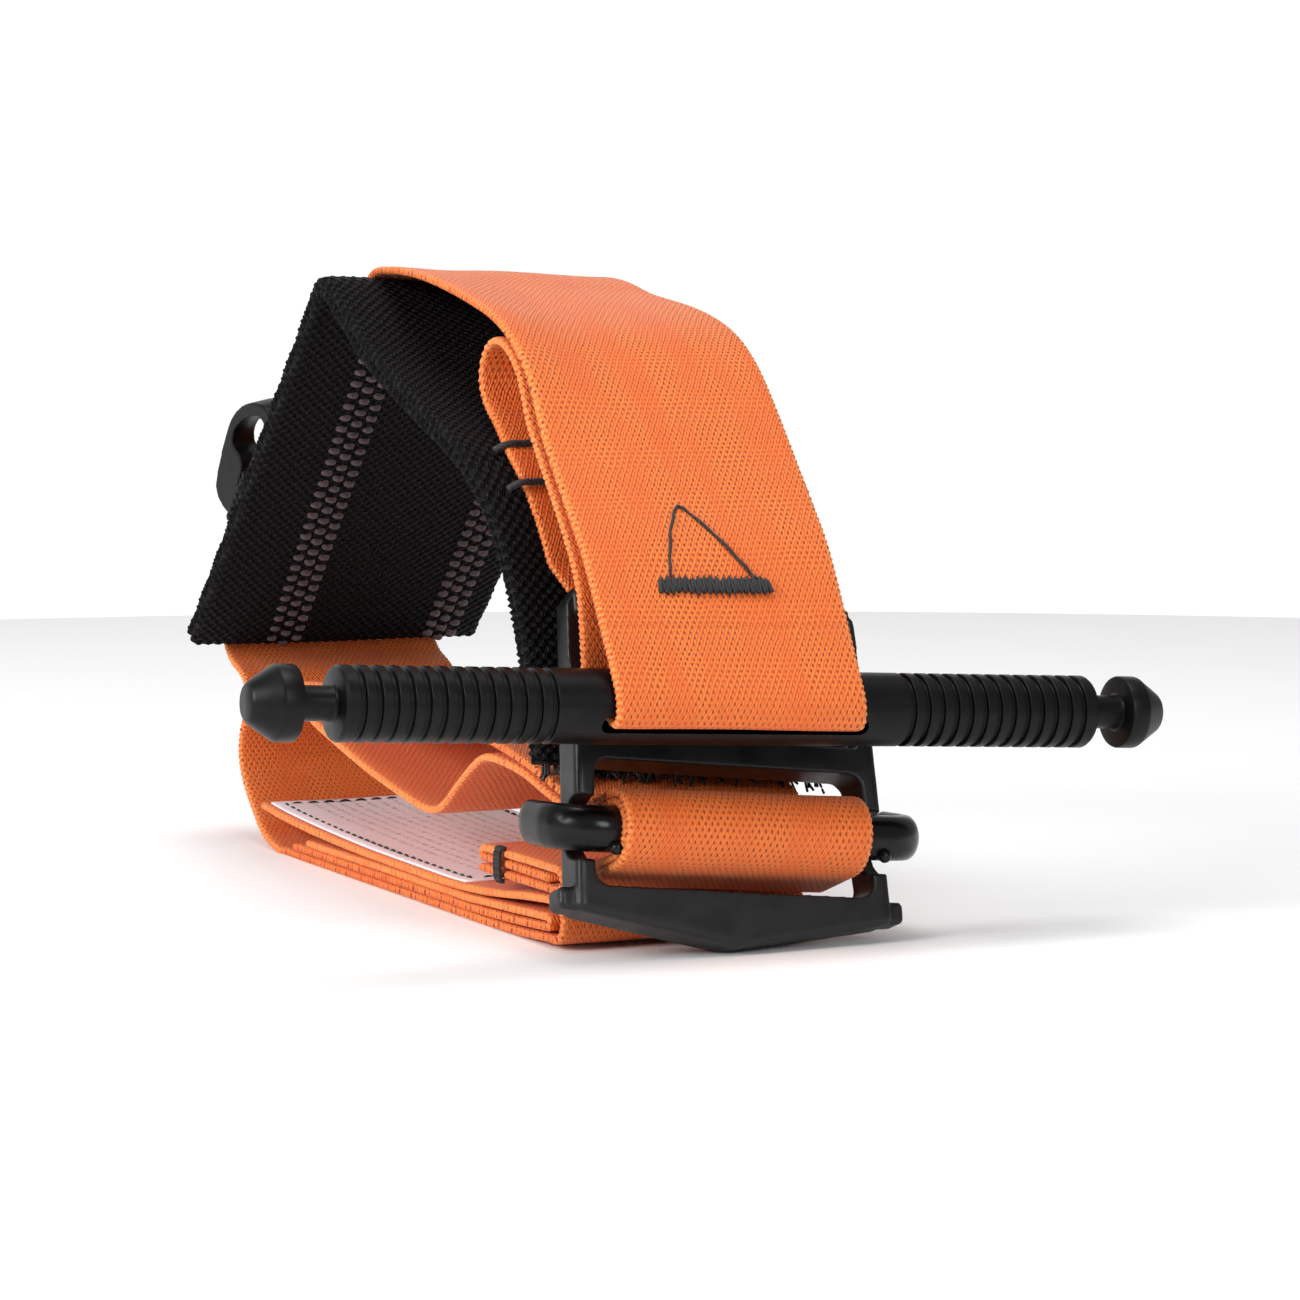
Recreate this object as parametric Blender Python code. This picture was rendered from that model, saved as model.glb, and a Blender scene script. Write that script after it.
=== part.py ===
"""A windlass tourniquet, folded on itself and standing on its stored strap and its buckle.

Frame: X runs along the windlass rod to the right, +Y to the back, +Z up. The pieces are
laid out in millimetres from a point on the ground below the rod, scaled to metres as each
mesh is made, and moved together at the end so the origin is under the middle of the whole.
"""

import math

import bmesh
import bpy
from mathutils import Matrix, Vector

MM = 0.001
GAP = 0.3

# Webbing
STRAP_W = 38.1
STRAP_T = 1.2
BASE_W = 50.0
BASE_T = 1.6

# Windlass rod
ROD_LENGTH = 139.7
ROD_R = 5.2
ROD_CENTRE = (0.0, -0.7, 34.8)
ROD_TILT = math.radians(3.0)
NECK_R = 2.4
END_R = 2.55
GROOVES = 13
GROOVE_START = 14.4
GROOVE_PITCH = 2.3
GROOVE_WIDTH = 0.9
GROOVE_DEPTH = 0.6
ROD_SIDES = 20
SLOT_LENGTH = 40.8
SLOT_HEIGHT = 2.6
SLOT_ANGLE = math.radians(25.0)

# Buckle frame, in its own upright axes: u across, v to the back, w up from the V tip
FRAME_TIP = (2.3, 1.2, 0.4)
FRAME_LEAN = math.radians(20.5)
FRAME_TILT = math.radians(6.0)
FRAME_FOOT_HALF = 24.6
FRAME_HEAD_HALF = 22.9
FRAME_HEIGHT = 51.4
FRAME_DEPTH = 6.4
POST_W = 2.8
V_DROP = 4.3
BOTTOM_BAR_TOP = 7.8
MIDDLE_BAR = (25.9, 40.8)
SHOULDER = 34.0
HEAD_FRONT = -1.2
LIP_TOP = 29.8
TOP_BAR_W = 49.1
TOP_BAR_R = 2.3
ANCHOR_W = 38.1
ANCHOR_U = -0.3
TAB_LENGTH = 2.3
TAB_HEIGHT = 3.4
NOTCH_R = 4.55
NOTCH_SET = 0.9

# Slider bar
SLIDER_V = -3.9
SLIDER_W = 16.0
SLIDER_ROLL = math.radians(-1.2)
SLIDER_PITCH = math.radians(18.0)
SLIDER_U = 1.7
SLIDER_STRAP_U = -0.3
SLIDER_R = 3.25
SLIDER_BEND = 5.8
SLIDER_STRAIGHT = 22.2
SLIDER_TAIL = 5.2
SLIDER_END_R = 1.65

# Lock ring and the webbing keeper that holds it on the back panel
RING_TUBE = 1.7
RING_LENGTH = 26.0
RING_HEIGHT = 15.0
RING_FOOT = (-18.4, 128.6, 56.9)
RING_LEAN = math.radians(15.0)
KEEPER_W = 12.0

# How far back the middle of the whole object is from the layout's zero
CENTRE_Y = 73.48


def clear_scene():
    """Empty the file so the part is the only thing in it."""
    for obj in list(bpy.data.objects):
        bpy.data.objects.remove(obj, do_unlink=True)


def material(name, color, roughness, metallic=0.0):
    """A plain Principled material."""
    mat = bpy.data.materials.new(name)
    mat.use_nodes = True
    shader = mat.node_tree.nodes["Principled BSDF"]
    shader.inputs["Base Color"].default_value = (*color, 1.0)
    shader.inputs["Roughness"].default_value = roughness
    shader.inputs["Metallic"].default_value = metallic
    return mat


def mesh_object(name, verts, faces, mat, smooth=False):
    """A mesh object from millimetre vertices, with its faces turned outward."""
    mesh = bpy.data.meshes.new(name)
    mesh.from_pydata([Vector(v) * MM for v in verts], [], faces)
    work = bmesh.new()
    work.from_mesh(mesh)
    bmesh.ops.recalc_face_normals(work, faces=work.faces)
    work.to_mesh(mesh)
    work.free()
    if smooth:
        mesh.shade_smooth()
    if mat:
        mesh.materials.append(mat)
    obj = bpy.data.objects.new(name, mesh)
    bpy.context.scene.collection.objects.link(obj)
    return obj


def arc(cy, cz, radius, start, end, steps):
    """Points (y, z) on an arc, angles in degrees from +Y toward +Z."""
    points = []
    for i in range(steps + 1):
        angle = math.radians(start + (end - start) * i / steps)
        points.append((cy + radius * math.cos(angle), cz + radius * math.sin(angle)))
    return points


def smooth(points, per_span=4):
    """A soft curve through the points (Catmull-Rom), any number of values per point."""
    padded = [points[0], *points, points[-1]]
    curve = []
    for i in range(1, len(padded) - 2):
        before, here, there, after = padded[i - 1:i + 3]
        for k in range(per_span):
            t = k / per_span
            curve.append(tuple(
                0.5 * (2 * b + (c - a) * t + (2 * a - 5 * b + 4 * c - d) * t * t
                       + (3 * b - a - 3 * c + d) * t ** 3)
                for a, b, c, d in zip(before, here, there, after)))
    curve.append(tuple(points[-1]))
    return curve


def offset(points, distance):
    """Shift a (y, z) line sideways: positive goes to the left of its direction of travel."""
    shifted = []
    for i, point in enumerate(points):
        ahead = points[min(i + 1, len(points) - 1)]
        behind = points[max(i - 1, 0)]
        along = Vector((ahead[0] - behind[0], ahead[1] - behind[1])).normalized()
        shifted.append((point[0] - along.y * distance, point[1] + along.x * distance,
                        *point[2:]))
    return shifted


def ribbon(name, path, width, thickness, mat):
    """A closed strip of webbing swept along its centre line.

    Each path point is (y, z), (y, z, x) or (y, z, x, tilt): the middle of the strip and
    how far its width is turned about Y, in radians.
    """
    centres = [Vector((p[2] if len(p) > 2 else 0.0, p[0], p[1])) for p in path]
    tilts = [p[3] if len(p) > 3 else 0.0 for p in path]
    verts = []
    for i, centre in enumerate(centres):
        along = centres[min(i + 1, len(centres) - 1)] - centres[max(i - 1, 0)]
        across = Vector((math.cos(tilts[i]), 0.0, -math.sin(tilts[i])))
        normal = along.cross(across).normalized()
        half = across * width / 2
        rise = normal * thickness / 2
        verts += [centre - half - rise, centre + half - rise,
                  centre + half + rise, centre - half + rise]
    faces = []
    for i in range(len(centres) - 1):
        a, b = 4 * i, 4 * i + 4
        for k in range(4):
            faces.append((a + k, a + (k + 1) % 4, b + (k + 1) % 4, b + k))
    last = 4 * (len(centres) - 1)
    faces += [(3, 2, 1, 0), (last, last + 1, last + 2, last + 3)]
    return mesh_object(name, verts, faces, mat)


def tube(name, centres, radii, mat, sides=10, closed=False, flat=None):
    """A round tube through the centres; `flat` squeezes its width across the path."""
    count = len(centres)
    verts = []
    for i, centre in enumerate(centres):
        ahead = centres[(i + 1) % count] if closed else centres[min(i + 1, count - 1)]
        behind = centres[i - 1] if closed else centres[max(i - 1, 0)]
        along = (ahead - behind).normalized()
        up = Vector((0.0, 0.0, 1.0)) if abs(along.z) < 0.9 else Vector((0.0, 1.0, 0.0))
        side = along.cross(up).normalized()
        up = side.cross(along)
        squeeze = flat[i] if flat else 1.0
        for k in range(sides):
            angle = 2 * math.pi * k / sides
            verts.append(centre + side * math.cos(angle) * radii[i] * squeeze
                         + up * math.sin(angle) * radii[i])
    faces = []
    for i in range(count if closed else count - 1):
        a, b = i * sides, ((i + 1) % count) * sides
        for k in range(sides):
            faces.append((a + k, a + (k + 1) % sides, b + (k + 1) % sides, b + k))
    if not closed:
        faces.append(tuple(range(sides - 1, -1, -1)))
        faces.append(tuple(range((count - 1) * sides, count * sides)))
    return mesh_object(name, verts, faces, mat, smooth=True)


def thread(name, points, radius, mat, closed=False):
    """A sewn thread: a thin tube through 3-D points."""
    return tube(name, points, [radius] * len(points), mat, sides=6, closed=closed)


def prism(name, outline, low, high, mat=None):
    """An outline in (x, z) extruded along Y from low to high."""
    count = len(outline)
    verts = [(x, low, z) for x, z in outline] + [(x, high, z) for x, z in outline]
    faces = [tuple(range(count)), tuple(range(2 * count - 1, count - 1, -1))]
    for k in range(count):
        n = (k + 1) % count
        faces.append((k, n, count + n, count + k))
    return mesh_object(name, verts, faces, mat)


def rounded_box(half_x, low, high, radius, steps=4):
    """Outline in (x, z) of a rounded rectangle."""
    outline = []
    corners = [(half_x - radius, high - radius, 0), (-half_x + radius, high - radius, 90),
               (-half_x + radius, low + radius, 180), (half_x - radius, low + radius, 270)]
    for x, z, start in corners:
        outline += arc(x, z, radius, start, start + 90, steps)
    return outline


def apply_boolean(target, other, operation):
    """Join or cut one closed body with another, then drop the other."""
    boolean = target.modifiers.new("shape", "BOOLEAN")
    boolean.operation = operation
    boolean.solver = "EXACT"
    boolean.object = other
    other.hide_render = True
    other.display_type = "WIRE"
    graph = bpy.context.evaluated_depsgraph_get()
    mesh = bpy.data.meshes.new_from_object(target.evaluated_get(graph))
    target.modifiers.clear()
    target.data = mesh
    bpy.data.objects.remove(other, do_unlink=True)


def bevel(obj, width, segments=2, angle=30.0):
    """Round the hard edges of a plain solid."""
    modifier = obj.modifiers.new("edges", "BEVEL")
    modifier.width = width * MM
    modifier.segments = segments
    modifier.limit_method = "ANGLE"
    modifier.angle_limit = math.radians(angle)
    graph = bpy.context.evaluated_depsgraph_get()
    mesh = bpy.data.meshes.new_from_object(obj.evaluated_get(graph))
    obj.modifiers.clear()
    obj.data = mesh


def place(obj, location, rotation=Matrix()):
    """Put an object at a millimetre location with a rotation matrix."""
    obj.matrix_world = Matrix.Translation(Vector(location) * MM) @ rotation.to_4x4()


def shift_origin(obj, location):
    """Move the origin of an object made in world axes, leaving its shape in place."""
    move = Vector(location) * MM
    obj.data.transform(Matrix.Translation(-move))
    obj.location = move


def frame_matrix():
    """From the buckle frame's own axes to the world, in millimetres."""
    turn = Matrix.Rotation(FRAME_TILT, 4, "Y") @ Matrix.Rotation(-FRAME_LEAN, 4, "X")
    return Matrix.Translation(FRAME_TIP) @ turn


def frame_matrix_metres():
    """The same, for mesh data that is already in metres."""
    matrix = frame_matrix()
    matrix.translation = matrix.translation * MM
    return matrix


def in_frame(u, v, w):
    """A point given in the buckle frame's axes, as a world point."""
    return frame_matrix() @ Vector((u, v, w))


def frame_station(v, w, u=0.0):
    """A ribbon path point given in the buckle frame's axes."""
    point = in_frame(u, v, w)
    return (point.y, point.z, point.x, FRAME_TILT)


def in_rod(a, b):
    """A (y, z) point from the rod's slot axes: a through the slot to the back, b up."""
    cos, sin = math.cos(SLOT_ANGLE), math.sin(SLOT_ANGLE)
    return (ROD_CENTRE[1] + a * cos - b * sin, ROD_CENTRE[2] + a * sin + b * cos)


# ---------------------------------------------------------------- rod

def rod_profile():
    """Half profile (station, radius) of the rod, from its end to its middle."""
    profile = [(0.0, END_R), (3.8, ROD_R), (6.6, ROD_R), (6.9, NECK_R), (12.0, NECK_R),
               (12.2, ROD_R - 0.5), (12.7, ROD_R)]
    for k in range(GROOVES):
        start = GROOVE_START + k * GROOVE_PITCH
        profile += [(start, ROD_R), (start + 0.15, ROD_R - GROOVE_DEPTH),
                    (start + GROOVE_WIDTH - 0.15, ROD_R - GROOVE_DEPTH),
                    (start + GROOVE_WIDTH, ROD_R)]
    return profile


def build_windlass(mat):
    """The turned rod with its through slot."""
    half = rod_profile()
    middle = ROD_LENGTH / 2
    profile = [(s - middle, r) for s, r in half]
    profile += [(middle - s, r) for s, r in reversed(half)]
    verts = []
    for x, radius in profile:
        for k in range(ROD_SIDES):
            angle = 2 * math.pi * (k + 0.5) / ROD_SIDES
            verts.append((x, radius * math.cos(angle), radius * math.sin(angle)))
    faces = [tuple(range(ROD_SIDES)),
             tuple(range(len(verts) - 1, len(verts) - 1 - ROD_SIDES, -1))]
    for i in range(len(profile) - 1):
        a, b = i * ROD_SIDES, (i + 1) * ROD_SIDES
        for k in range(ROD_SIDES):
            faces.append((a + k, a + (k + 1) % ROD_SIDES, b + (k + 1) % ROD_SIDES, b + k))
    rod = mesh_object("windlass", verts, faces, mat)
    outline = rounded_box(SLOT_LENGTH / 2, -SLOT_HEIGHT / 2, SLOT_HEIGHT / 2, 1.25)
    cutter = prism("slot_cutter", outline, -8.0, 8.0)
    cutter.data.transform(Matrix.Rotation(SLOT_ANGLE, 4, "X"))
    apply_boolean(rod, cutter, "DIFFERENCE")
    place(rod, ROD_CENTRE, Matrix.Rotation(ROD_TILT, 4, "Y"))
    return rod


def windlass_loop_path():
    """Strap down the front of the rod, in through the slot and up behind it."""
    front_r = 6.3
    cy, cz = ROD_CENTRE[1], ROD_CENTRE[2]
    turn = math.degrees(SLOT_ANGLE)
    path = [(-0.1, 48.4), (-2.1, 44.9), (-4.2, 41.3)]
    path += arc(cy, cz, front_r, 148, 186, 4)
    for a, b in arc(-4.55, 1.5, 1.55, 186, 270, 6):
        path.append(in_rod(a, b))
    path.append(in_rod(0.0, -0.05))
    for a, b in arc(4.6, 1.75, 1.8, 270, 270 + 83 - turn, 5):
        path.append(in_rod(a, b))
    path += [(4.9, 41.4), (5.3, 45.4), (5.8, 49.3)]
    return [(y, z, 0.0, ROD_TILT * min(1.0, max(0.0, (58.0 - z) / 18.0)))
            for y, z in path]


# ---------------------------------------------------------------- buckle

def half_at(w):
    """Half the frame's outer width at height w: the posts lean in toward the top."""
    part = (w - V_DROP) / (FRAME_HEIGHT - V_DROP)
    return FRAME_FOOT_HALF + (FRAME_HEAD_HALF - FRAME_FOOT_HALF) * part


def window(low, high, radius, steps=4):
    """Outline in (u, w) of an opening between the posts, with rounded corners."""
    outline = []
    for side, level, start in ((1, high, 0), (-1, high, 90), (-1, low, 180), (1, low, 270)):
        u = side * (half_at(level) - POST_W - radius)
        w = level - radius if level == high else level + radius
        outline += arc(u, w, radius, start, start + 90, steps)
    return outline


def build_buckle(mat):
    """The moulded ladder frame: two posts, a V bar, a middle plate and a top bar."""
    foot, head, top = FRAME_FOOT_HALF, FRAME_HEAD_HALF, FRAME_HEIGHT
    outline = [(0.0, 0.0), (foot, V_DROP), (head, top - 2.0), (head - 2.0, top),
               (-head + 2.0, top), (-head, top - 2.0), (-foot, V_DROP)]
    half_d = FRAME_DEPTH / 2
    body = prism("buckle_frame", outline, -half_d, half_d, mat)
    bevel(body, 0.9)
    for name, low, high, radius, front, back in (
            ("lower_cut", BOTTOM_BAR_TOP, MIDDLE_BAR[0], 2.2, -9.0, 9.0),
            ("upper_cut", MIDDLE_BAR[1], top + 9.0, 1.2, -9.0, 9.0),
            ("recess_cut", LIP_TOP, top, 0.8, -9.0, 0.4)):
        cutter = prism(name, window(low, high, radius), front, back)
        apply_boolean(body, cutter, "DIFFERENCE")
    shoulder = prism("shoulder_cut", [(-9.0, SHOULDER), (-half_d, SHOULDER),
                                      (HEAD_FRONT, SHOULDER + 7.0), (HEAD_FRONT, top + 3.0),
                                      (-9.0, top + 3.0)], -40, 40)
    shoulder.data.transform(Matrix.Rotation(math.pi / 2, 4, "Z"))
    apply_boolean(body, shoulder, "DIFFERENCE")
    reach = half_at(TOP_BAR_W) - POST_W + 1.5
    ends = [Vector((x, 0.0, TOP_BAR_W)) for x in (-reach, reach)]
    bar = tube("top_bar", ends, [TOP_BAR_R] * 2, mat, sides=20)
    apply_boolean(body, bar, "UNION")
    notch = prism("notch_cut", arc(0.0, 0.0, NOTCH_R, 0, 345, 23), -40, 40)
    notch.data.transform(Matrix.Translation(Vector((0, SLIDER_V + NOTCH_SET, SLIDER_W)) * MM)
                         @ Matrix.Rotation(math.pi / 2, 4, "Z"))
    apply_boolean(body, notch, "DIFFERENCE")
    for sign in (-1, 1):
        x0, x1 = foot - 1.0, foot + TAB_LENGTH
        peg = prism("peg", [(sign * x0, V_DROP), (sign * x1, V_DROP + 0.3),
                            (sign * x1, V_DROP + TAB_HEIGHT),
                            (sign * x0, V_DROP + TAB_HEIGHT)], -2.2, 2.2)
        bevel(peg, 0.5, 1)
        apply_boolean(body, peg, "UNION")
    body.data.transform(frame_matrix_metres())
    ground = prism("ground_cut", [(-60.0, -9.0), (60.0, -9.0), (60.0, 0.02), (-60.0, 0.02)],
                   -60.0, 60.0)
    apply_boolean(body, ground, "DIFFERENCE")
    body.data.materials.clear()
    body.data.materials.append(mat)
    shift_origin(body, in_frame(0, 0, TOP_BAR_W))
    return body


def slider_centres():
    """Centre line of the slider bar and how its width narrows toward the swept ends."""
    bend = SLIDER_BEND
    right = [(0.0, 0.0, 1.0), (SLIDER_STRAIGHT - 6, 0.0, 1.0), (SLIDER_STRAIGHT, 0.0, 1.0)]
    for k in range(1, 7):
        angle = math.radians(15 * k)
        squeeze = 1.0 - (1.0 - SLIDER_END_R / SLIDER_R) * min(1.0, k / 5)
        right.append((SLIDER_STRAIGHT + bend * math.sin(angle),
                      bend * (1 - math.cos(angle)), squeeze))
    end_x, end_v = right[-1][0], right[-1][1]
    for step in (0.5, 1.0):
        right.append((end_x, end_v + SLIDER_TAIL * step, SLIDER_END_R / SLIDER_R))
    return right


def build_slider(mat):
    """A round bar whose ends sweep back past the posts and round off."""
    right = slider_centres()
    radii = [SLIDER_R] * len(right)
    end_x, end_v, squeeze = right[-1]
    for angle in (35, 62, 82):
        right.append((end_x, end_v + 3.0 * math.sin(math.radians(angle)), squeeze))
        radii.append(SLIDER_R * math.cos(math.radians(angle)))
    left = [(-x, v, s) for x, v, s in reversed(right[1:])]
    stations = left + right
    sizes = radii[:0:-1] + radii
    bar = tube("slider_bar", [Vector((x, v, 0.0)) for x, v, s in stations], sizes, mat,
               sides=16, flat=[s for x, v, s in stations])
    turn = (frame_matrix().to_3x3() @ Matrix.Rotation(SLIDER_ROLL, 3, "Y")
            @ Matrix.Rotation(SLIDER_PITCH, 3, "X"))
    place(bar, in_frame(SLIDER_U, SLIDER_V, SLIDER_W), turn)
    return bar


def slider_wrap(radius, tail):
    """Strap round the slider bar, open to the back, in the buckle frame's axes."""
    outline = [(tail, SLIDER_W + radius)]
    outline += arc(SLIDER_V, SLIDER_W, radius, 90, 270, 12)
    outline.append((tail, SLIDER_W - radius))
    points = [in_frame(SLIDER_STRAP_U, v, w) for v, w in outline]
    return [(p.y, p.z, p.x, FRAME_TILT + SLIDER_ROLL) for p in points]


# ---------------------------------------------------------------- base webbing

def base_outer_line():
    """The outer face of the folded base, from the end of its back leg to its front end."""
    return [(153.0, 34.5, 0.0, 0.0), (131.5, 54.2, 0.0, 0.0), (110.0, 73.9, 0.0, 0.0),
            (96.5, 86.5, 0.0, 0.0), (91.5, 91.7, 0.0, 0.0), (87.2, 93.5, 0.0, 0.0),
            (81.0, 90.5, 0.0, 0.0), (68.7, 84.1, 0.0, 0.0), (48.8, 76.5, 0.0, 0.0),
            (34.6, 71.1, 0.2, 0.0), (28.9, 65.9, 1.4, 0.0), (26.2, 59.4, 3.0, 0.01),
            (25.1, 52.9, 4.4, 0.03), (24.0, 46.4, 5.4, 0.05), (22.0, 38.9, 5.8, 0.07),
            (19.2, 27.8, 6.0, 0.08)]


def base_layer(name, depth, mat):
    """One layer of the base sleeve, its middle `depth` inside the outer face."""
    line = smooth(base_outer_line(), 2)
    return ribbon(name, offset(line, depth), BASE_W, BASE_T, mat)


# ---------------------------------------------------------------- strap

def front_panel_path():
    """Strap from above the rod, up over the top of the base to the apex."""
    return smooth([(0.9, 50.1), (5.0, 56.6), (10.8, 63.4), (22.0, 76.2), (28.8, 82.4),
                   (36.0, 86.2), (46.0, 88.9), (60.0, 92.2), (74.0, 94.7), (84.4, 95.3)], 3)


def rear_panel_path():
    """Strap over the apex and down the outer face of the back leg."""
    lift = STRAP_T / 2 + GAP
    slope = [(96.8, 86.8), (110.0, 73.9), (131.5, 54.2), (150.5, 36.8)]
    down = [(y + 0.676 * lift, z + 0.737 * lift) for y, z in slope]
    return smooth([(84.8, 95.3), (88.8, 94.7), (92.8, 92.1), *down], 3)


def fold_path():
    """Strap up behind the front panel, over a soft fold and down onto the base."""
    return smooth([(6.0, 50.2), (8.8, 55.8), (13.6, 62.2), (20.4, 70.0), (25.6, 76.4),
                   (29.8, 81.0), (33.6, 83.2), (36.8, 83.0), (38.8, 80.8), (38.7, 77.6),
                   (37.2, 75.1), (34.6, 72.7)], 3)


def anchor_path():
    """Strap down the front leg of the base and once round the buckle's top bar."""
    wrap_r = TOP_BAR_R + GAP + STRAP_T / 2
    base = offset(smooth(base_outer_line(), 2), -GAP - STRAP_T / 2)
    down = [p for p in base if 52.4 < p[1] < 71.5 and p[0] < 40.0]
    wrap = [frame_station(v, w, ANCHOR_U) for v, w in
            arc(0.0, TOP_BAR_W, wrap_r, 20, -235, 14)]
    return down + wrap


def back_turn_path():
    """Strap off the end of the back leg, bowing inward and out again to the ground."""
    lap = [(152.0, 36.6), *arc(153.0, 34.5, 0.95, 47, -42, 4), (151.3, 31.3)]
    bow = smooth([(149.4, 29.9), (146.2, 28.8), (143.4, 27.4), (142.0, 24.6),
                  (143.0, 21.0), (145.0, 18.2), (145.8, 14.4), (144.0, 10.6),
                  (140.4, 7.0), (134.0, 2.4), (126.0, 0.6)], 3)
    return lap + bow


def floor_path():
    """The ground layer: forward to a soft front fold and back along the top."""
    ground = [(125.6, 0.6), (90.0, 0.6), (50.0, 0.6), (38.0, 0.6), (27.0, 0.8), (17.0, 1.3)]
    fold = arc(14.6, 4.1, 2.8, 262, 95, 8)
    top = [(18.0, 6.8), (26.0, 6.2), (40.0, 5.3), (60.0, 5.15), (90.0, 5.7),
           (112.0, 6.5), (127.0, 7.5), (135.0, 8.4)]
    return ground + fold + smooth(top, 2)


def inner_fold_path():
    """Two layers folded together inside the ground layer's fold."""
    fold = arc(17.0, 3.6, 0.75, 270, 90, 6)
    return [(120.0, 2.12), (46.0, 2.12), (30.0, 2.3), *fold, (30.0, 3.85), (46.0, 3.62),
            (114.0, 3.62)]


def tail_path():
    """Spare strap behind the slider: back over a ridge and a valley, and forward again."""
    low = frame_station(7.2, SLIDER_W + 3.4, SLIDER_STRAP_U)
    high = frame_station(6.8, SLIDER_W + 5.4, SLIDER_STRAP_U)
    under = [low, (20.0, 20.0, 1.6, 0.06), (28.0, 23.2, 0.6, 0.03),
             (37.0, 24.8, 0.0, 0.0), (42.5, 23.8, 0.0, 0.0), (50.0, 19.6, 0.0, 0.0),
             (56.5, 15.6, 0.0, 0.0), (62.0, 14.6, 0.0, 0.0), (70.0, 15.4, 0.0, 0.0),
             (88.0, 18.2, 0.0, 0.0), (106.0, 22.0, 0.0, 0.0), (114.0, 24.2, 0.0, 0.0),
             (117.6, 26.6, 0.0, 0.0), (114.6, 28.8, 0.0, 0.0)]
    over = [(96.0, 29.4, 0.0, 0.0), (66.0, 29.2, 0.0, 0.0), (48.0, 28.2, 0.0, 0.0),
            (36.0, 27.2, 0.0, 0.0), (26.0, 25.3, 0.6, 0.03), (18.6, 22.0, 1.8, 0.06), high]
    return smooth(under + over, 2)


def tail_end_path():
    """The end of the tail, rolled flat on itself behind the buckle."""
    low, middle, high = 8.45, 9.95, 11.45
    front = arc(13.6, middle, high - middle, 270, 90, 8)
    back = arc(40.6, (middle + high) / 2, (high - middle) / 2, 90, -90, 6)
    return [(41.4, low), *front, *back, (17.0, middle)]


def panel_point(x, z, lift):
    """A point on the front panel's outer face at height z, raised off it by `lift`."""
    path = front_panel_path()
    for (y0, z0), (y1, z1) in zip(path, path[1:]):
        if z0 <= z <= z1:
            part = (z - z0) / (z1 - z0)
            along = Vector((0.0, y1 - y0, z1 - z0)).normalized()
            outward = Vector((0.0, -along.z, along.y))
            foot = Vector((x, y0 + (y1 - y0) * part, z))
            return foot + outward * (STRAP_T / 2 + lift)
    raise ValueError("height is off the panel")


# ---------------------------------------------------------------- small pieces

def build_stitching(mat):
    """The sewn threads that stand proud of the webbing."""
    lift = 0.35 + GAP
    apex = panel_point(-2.6, 61.6, lift)
    left = [panel_point(-6.9 + 1.05 * k, 52.8 + 2.2 * k, lift) for k in range(4)]
    right = [panel_point(-2.6 + 2.1 * k, 61.6 - 2.2 * k, lift) for k in range(1, 5)]
    thread("panel_triangle_stitch", left + [apex] + right, 0.35, mat)
    bar = []
    for k in range(15):
        bar.append(panel_point(-8.4 + 1.2 * k, 50.6 + 1.3 * (k % 2), lift))
    thread("panel_bartack", bar, 0.35, mat)
    for name, (y, z), reach in (("fold_tack_upper", (31.4, 70.4), 7.0),
                                ("fold_tack_lower", (27.6, 67.2), 6.0)):
        edge = -STRAP_W / 2 + 0.3
        up = Vector((0.0, -0.66, 0.75))
        foot = Vector((edge, y, z))
        points = [foot + up * 1.35, foot + up * 1.35 + Vector((reach / 2, 0.0, 0.0)),
                  foot + up * 1.35 + Vector((reach, 0.0, 0.0))]
        thread(name, points, 0.35, mat)
    x = -STRAP_W / 2 - GAP - 0.4
    thread("tail_bartack", [Vector((x, 33.0, 7.7)), Vector((x - 0.2, 32.6, 9.8)),
                            Vector((x, 33.0, 11.9))], 0.4, mat)
    half_x, near, far = 15.4, 50.5, 129.0
    border = []
    for k in range(12):
        border.append(Vector((-half_x, near + (far - near) * k / 12, 0.0)))
    for k in range(4):
        border.append(Vector((-half_x + 2 * half_x * k / 4, far, 0.0)))
    for k in range(12):
        border.append(Vector((half_x, far - (far - near) * k / 12, 0.0)))
    for k in range(4):
        border.append(Vector((half_x - 2 * half_x * k / 4, near, 0.0)))
    for point in border:
        point.z = label_height(point.y) + 0.25 + GAP + 0.2
    thread("label_border_stitch", border, 0.2, mat, closed=True)


def label_height(y):
    """Height of the middle of the label at a distance back along the strap."""
    top = [p for p in floor_path() if p[1] > 4.5 and p[0] > 16]
    lift = STRAP_T / 2 + GAP + 0.25
    for (y0, z0), (y1, z1) in zip(top, top[1:]):
        if y0 <= y <= y1:
            return z0 + (z1 - z0) * (y - y0) / (y1 - y0) + lift
    return top[-1][1] + lift


def build_label(mat):
    """The sewn-on cloth label on the top layer of the stored strap."""
    path = [(48.5 + 84.0 * k / 14, label_height(48.5 + 84.0 * k / 14)) for k in range(15)]
    return ribbon("label", path, 34.0, 0.4, mat)


def ring_axes():
    """The lock ring's hinge point and its axes: down the slope, out of the panel."""
    slope = Vector((0.0, 0.737, -0.676))
    out = Vector((0.0, 0.676, 0.737))
    return Vector(RING_FOOT) + out * (STRAP_T + 2 * GAP + 3.2), slope, out


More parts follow.
